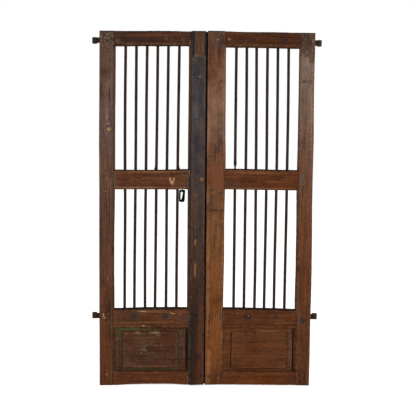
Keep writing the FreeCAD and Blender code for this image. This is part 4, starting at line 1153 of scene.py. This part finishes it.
# How far each bar strays sideways at these heights
BEND_HEIGHTS = (390, 620, 900, 1180, 1450, 1770)
bar_bends = {
    "left": [
        (1.9, 2.0, 3.4, 2.0, 1.8, 4.3),
        (-2.1, -1.5, 0.5, 2.3, 3.2, 4.6),
        (-1.1, -2.0, -1.1, 1.3, 1.9, 4.9),
        (-3.9, -2.5, -0.9, 0.2, 2.7, 4.4),
        (-1.3, -0.8, -0.7, -0.1, 2.1, 4.1),
        (-1.6, -1.6, -0.1, 0.8, 2.6, 5.7),
    ],
    "right": [
        (0.3, 0.4, 0.6, 0.3, 0.1, 0.5),
        (-0.5, 0.3, 0.7, 1.1, 0.9, -0.9),
        (-0.1, 1.6, 0.3, -0.9, -2.6, -5.4),
        (-4.0, -2.6, -0.7, -0.5, -2.1, -3.6),
        (-6.8, -6.3, -4.0, -2.3, -2.9, -5.0),
        (-6.6, -5.4, -3.6, -2.9, -2.2, -4.3),
    ],
}


def bell(value, middle, width):
    return math.exp(-(((value - middle) / width) ** 2))


def forged_iron(name, black, rust, amount, pits, smoothness, bright=0.05, gleam=0.05):
    """Old black iron with rust held in its pits."""
    material, tree, shader, place = new_material(name)
    blotches = span(tree, noise_value(tree, place, 42, 5, 0.68), *amount)
    pitting = noise_value(tree, place, pits, 4, 0.6)
    hammer = noise_value(tree, place, 85, 1, 0.5)
    paler, darker = (tuple(factor * part for part in black) for factor in (1.7, 0.45))
    tone = mix_colour(tree, span(tree, hammer, 0.3, 0.7), black, paler)
    tone = mix_colour(tree, blotches, tone, rust)
    tone = mix_colour(tree, span(tree, pitting, 0.56, 0.72, 0, 0.7), tone, darker)
    tree.links.new(tone, shader.inputs["Base Color"])
    tree.links.new(span(tree, blotches, 0, 1, smoothness, 0.9), shader.inputs["Roughness"])
    tree.links.new(span(tree, blotches, 0, 1, bright, 0.0), shader.inputs["Metallic"])
    shader.inputs["Specular IOR Level"].default_value = gleam
    height = maths(tree, "ADD", maths(tree, "MULTIPLY", pitting, 0.5), hammer)
    bump = add_node(tree, "Bump", Strength=0.3, Distance=0.0007, Height=height)
    tree.links.new(bump.outputs[0], shader.inputs["Normal"])
    return material


BAR_BLACK, BAR_RUST = (0.015, 0.0098, 0.0088), (0.042, 0.02, 0.013)
bar_iron = forged_iron(
    "bar_iron_blackened", BAR_BLACK, BAR_RUST, amount=(0.46, 0.72), pits=420, smoothness=0.72
)
for leaf, rods in bar_bends.items():
    for number, bends in enumerate(rods, start=1):
        node = f"{leaf}_bar_{number}"
        low, high = box_mm(node)
        middle = (low + high) / 2
        mid_rail = f"{leaf}_mid_rail"
        rail_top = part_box(mid_rail)[1].z / MM + wander(edges[mid_rail]["top"], middle.x)
        rows = round((high.z - low.z) / BAR_ROW)
        seed = BAR_SEED[leaf] + BAR_SEED_STEP * number
        verts = []
        for row in range(rows + 1):
            z = low.z + (high.z - low.z) * row / rows
            sway = SWAY * (ripple(Vector((0, 0, z)), SWAY_SIZE, seed) - 0.5)
            centre = Vector((middle.x + wander(list(zip(BEND_HEIGHTS, bends)), z), middle.y + sway, z))
            radius = BAR_RADIUS * (THINNEST + THICKENING * ripple(centre, THICKENING_SIZE, seed))
            lean = 0.0
            if node in SPLAYED_FEET:
                foot = bell(z, rail_top, FOOT_RISE) if z > rail_top - FOOT_SINK else 0.0
                radius += FOOT_SPREAD * foot
                lean = SPLAYED_FEET[node] * foot
            for swelling, above, spread in COLLARED_BARS.get(node, ()):
                radius += swelling * bell(z, rail_top + above, spread)
            for side in range(BAR_SIDES):
                angle = 2 * math.pi * side / BAR_SIDES
                spoke = Vector((math.cos(angle), math.sin(angle), 0))
                hammered = ripple(centre + spoke * FLATS_APART, FLAT_SIZE, seed + 1) - 0.5
                flat = 1 + FLATTENING * hammered
                verts.append(centre + Vector((lean, 0, 0)) + spoke * radius * flat)
        faces = tube_faces(rows + 1, BAR_SIDES)
        rod = new_piece(f"{node}_rod", verts, faces, f"{leaf}_leaf", node, "bar_iron")
        rod.data.materials.append(bar_iron)

# Astragal: the cover strip over the meeting joint, a bevelled batten nailed to the left meeting stile.
# It was painted slate black; the paint is rubbed thin at the foot and gone under a lost fitting at the top.
PAINT_FRONT, BEVEL, LET_IN = -68.75, 3.0, 1.5
BEVEL_ROUND, JOINT_SIDE_ROUND, BATTEN_BACK_ROUND = 1.2, 1.0, 0.6
BATTEN_SEED, BATTEN_SWEEP = 171.4, {"spacing": 7.0, "bite": 1.1, "end_round": 3.0}
PAINT_FACE = (PAINT_FRONT, 12)
astragal_marks = [
    (-40, 1770, 24, 62, (0.081, 0.034, 0.019), 0.95, 0.2, 130, 1.0, 0.12),
    (-40, 1812, 24, 16, (0.046, 0.024, 0.017), 0.6, 1.2, 90),
    (-53, 1748, 4, 50, (0.044, 0.023, 0.016), 0.75, 1.2, 130),
    (-34, 1758, 3.5, 52, (0.046, 0.024, 0.016), 0.7, 1.2, 130),
    (-25, 1738, 4, 40, (0.145, 0.072, 0.038), 0.6, 1.4, 140),
    (-44, 1735, 3.5, 34, (0.135, 0.066, 0.034), 0.55, 1.4, 140),
    (-58, 1703, 3.2, 9, (0.19, 0.098, 0.042), 0.85, 0.8, 170),
    (-46, 1702, 3.2, 10, (0.2, 0.104, 0.045), 0.85, 0.8, 170),
    (-34, 1703, 3.2, 9, (0.15, 0.076, 0.035), 0.8, 0.8, 170),
    (-23, 1701, 3.2, 9, (0.13, 0.064, 0.031), 0.8, 0.8, 170),
    # Near black painted shadows either side of the bare patch under the lost fitting
    (-71, 1765, 6.5, 76, (0.01, 0.01, 0.012), 0.9, 0.3, 120, 1.0, 0.3),
    (-9, 1765, 6, 76, (0.01, 0.01, 0.012), 0.85, 0.3, 120, 1.0, 0.3),
    (-40, 1826, 40, 4, SOOT, 0.8, 0.4, 120, 1.0),
    (-56, 913, 3, 14, (0.16, 0.1, 0.06), 0.6, 1.0),
    (-56, 835, 5, 60, (0.095, 0.058, 0.036), 0.55, 1.5, 70),
    (-55, 752, 4, 20, (0.27, 0.125, 0.052), 0.85, 1.0, 100),
    (-54, 605, 4.5, 52, (0.23, 0.115, 0.05), 0.9, 1.2, 90),
    (-44, 800, 12, 40, (0.03, 0.02, 0.017), 0.65, *BLOTCH),
    (-40, 1015, 30, 40, (0.045, 0.036, 0.03), 0.5, *BLOTCH),
    (-52, 1620, 24, 60, (0.025, 0.023, 0.027), 0.7, *BLOTCH),
    (-30, 1510, 18, 70, (0.031, 0.029, 0.034), 0.7, *BLOTCH),
    (-56, 1420, 16, 60, (0.08, 0.066, 0.064), 0.55, *BLOTCH),
    (-28, 1345, 16, 60, (0.078, 0.056, 0.052), 0.55, *BLOTCH),
    (-54, 1265, 20, 60, (0.026, 0.022, 0.024), 0.75, *BLOTCH),
    (-30, 1170, 18, 40, (0.07, 0.052, 0.047), 0.55, *BLOTCH),
    (-46, 1125, 24, 30, (0.027, 0.022, 0.022), 0.65, *BLOTCH),
    (-35, 900, 22, 60, (0.033, 0.025, 0.023), 0.6, *BLOTCH),
    (-24, 250, 17, 250, (0.094, 0.036, 0.017), 0.6, 1.3, 60, 0.6),
    (-66, 240, 15, 260, (0.02, 0.014, 0.0115), 0.8, 1.0, 45, 0.6),
    (-34, 154, 20, 26, (0.02, 0.014, 0.011), 0.7, 1.2, 60),
    (-70, 60, 6, 70, (0.016, 0.012, 0.01), 0.8, 1.0),
    (-25, 22, 18, 22, (0.085, 0.034, 0.018), 0.6, 1.2),
    # Painted shade along the side of the strip that faces the channel
    (-5, 915, 4, 1200, (0.01, 0.009, 0.009), 0.6, 0.3, 120, 0.0, 0.5, 8, -56),
]
low, high = box_mm("astragal")
batten = [
    (low.x + BEVEL, low.y, BEVEL_ROUND, 1.0),
    (high.x - BEVEL, low.y, BEVEL_ROUND, 1.0),
    (high.x, low.y + BEVEL, JOINT_SIDE_ROUND, 0.6),
    (high.x, high.y + LET_IN, BATTEN_BACK_ROUND, 0.0),
    (low.x, high.y + LET_IN, BATTEN_BACK_ROUND, 0.0),
    (low.x, low.y + BEVEL, BEVEL_ROUND, 1.0),
]
warp = out_of_true(
    low,
    high,
    left=[(0, 0)],
    right=[(0, 0), (300, 1), (500, 0.2), (800, -1), (1050, -1.6), (1250, -2.8), (1530, -3.6), (1830, -3)],
    bottom=[(-80, 2.4), (-21, 4.8)],
    top=[(0, -0.9)],
)
verts, faces, shares = worn_plank(batten, (low.z, high.z), True, BATTEN_SEED, warp, **BATTEN_SWEEP)
astragal = new_piece("astragal_batten", verts, faces, "left_leaf", "astragal", "astragal_paint", **shares)
slate_paint = old_timber(
    "astragal_slate_paint",
    True,
    (low.z, high.z),
    tones=[
        (0.02, (0.05, 0.0195, 0.0105)), (0.2, (0.033, 0.0155, 0.0112)), (0.36, (0.056, 0.029, 0.0195)),
        (0.5, (0.057, 0.035, 0.0265)), (0.62, (0.049, 0.0355, 0.033)), (0.8, (0.0535, 0.0445, 0.0455)),
        (0.92, (0.044, 0.035, 0.034)), (0.98, (0.038, 0.029, 0.027)),
    ],
    rubbed=(0.085, 0.075, 0.074),
    marks=astragal_marks,
    face=PAINT_FACE,
    depths=(0.8, 0.4, 1.2),
    grime=0.5,
)
astragal.data.materials.append(slate_paint)

# Studs: broad hand-made nails that hold the astragal, one of them by the latch.
# Each head is beaten to an uneven low dome, brown with rust, and some keep a smear of the paint.
HEAD_SIDES, HEAD_RISE, HEAD_SINK, HEAD_SEED = 18, 3.0, 1.5, 5.2
# How uneven a head is round its rim and over its dome, and what share of its rise the crown reaches
RIM_UNEVEN, DOME_UNEVEN, CROWN_SHARE = 0.10, 0.22, 0.94
STUD_FACE = (-71, 9)
# From rim to crown: share of the radius, height
HEAD_PROFILE = [
    (1.0, -HEAD_SINK),
    (1.0, 0.12 * HEAD_RISE),
    (0.93, 0.42 * HEAD_RISE),
    (0.72, 0.78 * HEAD_RISE),
    (0.38, 0.88 * HEAD_RISE),
]
# Place, radius of the head, then half size, colour, strength and raggedness of its stain
stud_heads = [
    (-37, 1598, 7.5, 7, (0.25, 0.165, 0.1), 0.55, 1.0),
    (-24.5, 1076, 12.5, 11, (0.21, 0.088, 0.036), 0.6, 0.9),
    (-30, 548, 9.0, 16, (0.04, 0.024, 0.017), 0.9, 0.4),
    (-30, 21, 9.0, 16, (0.05, 0.024, 0.015), 0.9, 0.4),
    (-56.5, 994, 13.5, 17, (0.078, 0.046, 0.031), 0.85, 0.6),
]
STUD_BROWN, STUD_RUST = (0.052, 0.03, 0.02), (0.15, 0.062, 0.026)
stud_iron = forged_iron(
    "stud_iron_rusted", STUD_BROWN, STUD_RUST, amount=(0.34, 0.6), pits=380, smoothness=0.7
)
tree = stud_iron.node_tree
surface = tree.nodes["Principled BSDF"].inputs["Base Color"]
tone = surface.links[0].from_socket
place = add_node(tree, "TexCoord").outputs["Object"]
verts, faces = [], []
for number, (x, z, radius, reach, tint, strength, ragged) in enumerate(stud_heads):
    tone = paint_mark(tree, tone, place, STUD_FACE, x, z, reach, reach, tint, strength, ragged)
    start = len(verts)
    for share, lift in HEAD_PROFILE:
        for side in range(HEAD_SIDES):
            angle = 2 * math.pi * side / HEAD_SIDES
            spoke = Vector((math.cos(angle), 0, math.sin(angle)))
            rough = 1 - RIM_UNEVEN + RIM_UNEVEN * ripple(spoke * 2.2, 1.6, HEAD_SEED + 7 * number)
            dimple = ripple(spoke * share * 2 + Vector((0, number, 0)), 0.9, HEAD_SEED) - 0.5
            beat = DOME_UNEVEN * HEAD_RISE * dimple if lift > 0 else 0.0
            verts.append(Vector((x, PAINT_FRONT - lift - beat, z)) + spoke * radius * share * rough)
    crown = len(verts)
    verts.append(Vector((x, PAINT_FRONT - CROWN_SHARE * HEAD_RISE, z)))
    verts.append(Vector((x, PAINT_FRONT + HEAD_SINK, z)))
    rings = len(HEAD_PROFILE)
    last = (rings - 1) * HEAD_SIDES
    faces += [[start + point for point in face] for face in tube_faces(rings, HEAD_SIDES, capped=False)]
    for side in range(HEAD_SIDES):
        beside = (side + 1) % HEAD_SIDES
        faces.append((start + last + side, start + last + beside, crown))
        faces.append((start + beside, start + side, crown + 1))
tree.links.new(tone, surface)
studs = new_piece("astragal_studs", verts, faces, "left_leaf", "astragal_nails", "nail_iron")
studs.data.materials.append(stud_iron)

# Latch: a staple driven up into the left mid rail, with a heavy loose link hanging in it.
# The link is forged flat from thick iron and thinned where it hangs in the staple; handling has blacked both.
LINK_Y, LINK_FLATTENED, LINK_SEED = -31.75, 0.72, 301.0
LINK_SIDES, LINK_STEP, BEND_STEPS = 14, 3, 6
LINK_UNEVEN, LINK_UNEVEN_SIZE, LINK_UNEVEN_APART = 0.06, 14, 6
LINK_BLACK, LINK_RUST = (0.003, 0.0028, 0.0028), (0.01, 0.007, 0.006)
link_iron = forged_iron(
    "latch_iron_handled",
    LINK_BLACK,
    LINK_RUST,
    amount=(0.52, 0.78),
    pits=300,
    smoothness=0.6,
    bright=0.01,
    gleam=0.01,
)
dress_solid("latch_staple", link_iron)
# Round the link: x, z, radius of the iron, and how far from the corner the bend begins
link_corners = [
    (-136.1, 974.0, 4.5, 3.0), (-136.1, 1004.0, 4.5, 3.0), (-134.0, 1015.6, 6.4, 2.5),
    (-128.8, 1015.6, 7.0, 0.4), (-127.6, 1015.6, 3.1, 0.4), (-120.7, 1015.6, 3.1, 0.4),
    (-119.5, 1015.6, 7.0, 0.4), (-114.4, 1015.6, 6.6, 2.0), (-114.7, 1005.0, 6.1, 3.0),
    (-119.6, 965.0, 8.8, 4.0), (-134.3, 962.8, 6.2, 3.5),
]
path = []
for index, (x, z, radius, bend) in enumerate(link_corners):
    here = Vector((x, z))
    before = (Vector(link_corners[index - 1][:2]) - here).normalized()
    after = (Vector(link_corners[(index + 1) % len(link_corners)][:2]) - here).normalized()
    start, end = here + before * bend, here + after * bend
    for step in range(BEND_STEPS + 1):
        share = step / BEND_STEPS
        path.append((start.lerp(here, share).lerp(here.lerp(end, share), share), radius))
smooth_path = []
for index, (spot, radius) in enumerate(path):
    following, next_radius = path[(index + 1) % len(path)]
    steps = max(1, round((following - spot).length / LINK_STEP))
    for step in range(steps):
        share = step / steps
        smooth_path.append((spot.lerp(following, share), radius + (next_radius - radius) * share))
verts = []
turns = len(smooth_path)
for index, (spot, radius) in enumerate(smooth_path):
    run = (smooth_path[(index + 1) % turns][0] - smooth_path[index - 1][0]).normalized()
    side_on = Vector((run.y, 0, -run.x))
    for side in range(LINK_SIDES):
        angle = 2 * math.pi * side / LINK_SIDES
        spoke = side_on * math.cos(angle) + Vector((0, LINK_FLATTENED * math.sin(angle), 0))
        here = Vector((spot.x, 0, spot.y)) + spoke * LINK_UNEVEN_APART
        swell = 1 + LINK_UNEVEN * (ripple(here, LINK_UNEVEN_SIZE, LINK_SEED) - 0.5)
        verts.append(Vector((spot.x, LINK_Y, spot.y)) + spoke * radius * swell)
faces = []
for face in tube_faces(turns + 1, LINK_SIDES, capped=False):
    faces.append([point % len(verts) for point in reversed(face)])
link = new_piece("latch_link_wire", verts, faces, "latch_link", "latch_link", "latch_iron")
link.data.materials.append(link_iron)

# Hinges: tapered straps nailed across the back of the rails, their forked eyes turning on pins in eye spikes.
# The spikes were driven into the frame of the doorway; all of it is hammered iron, rusted brown black.
HINGE_WORN, HINGE_BLUNTEST = 0.7, 35
HINGE_BLACK, HINGE_RUST = (0.019, 0.0138, 0.0112), (0.064, 0.03, 0.016)
hinge_iron = forged_iron(
    "hinge_iron_hammered", HINGE_BLACK, HINGE_RUST, amount=(0.42, 0.68), pits=340, smoothness=0.72
)
for leaf in ("left", "right"):
    for level in ("upper", "lower"):
        for kind in ("strap", "strap_nails", "spike", "pin"):
            dress_solid(f"{leaf}_{level}_{kind}", hinge_iron, HINGE_WORN, HINGE_BLUNTEST)
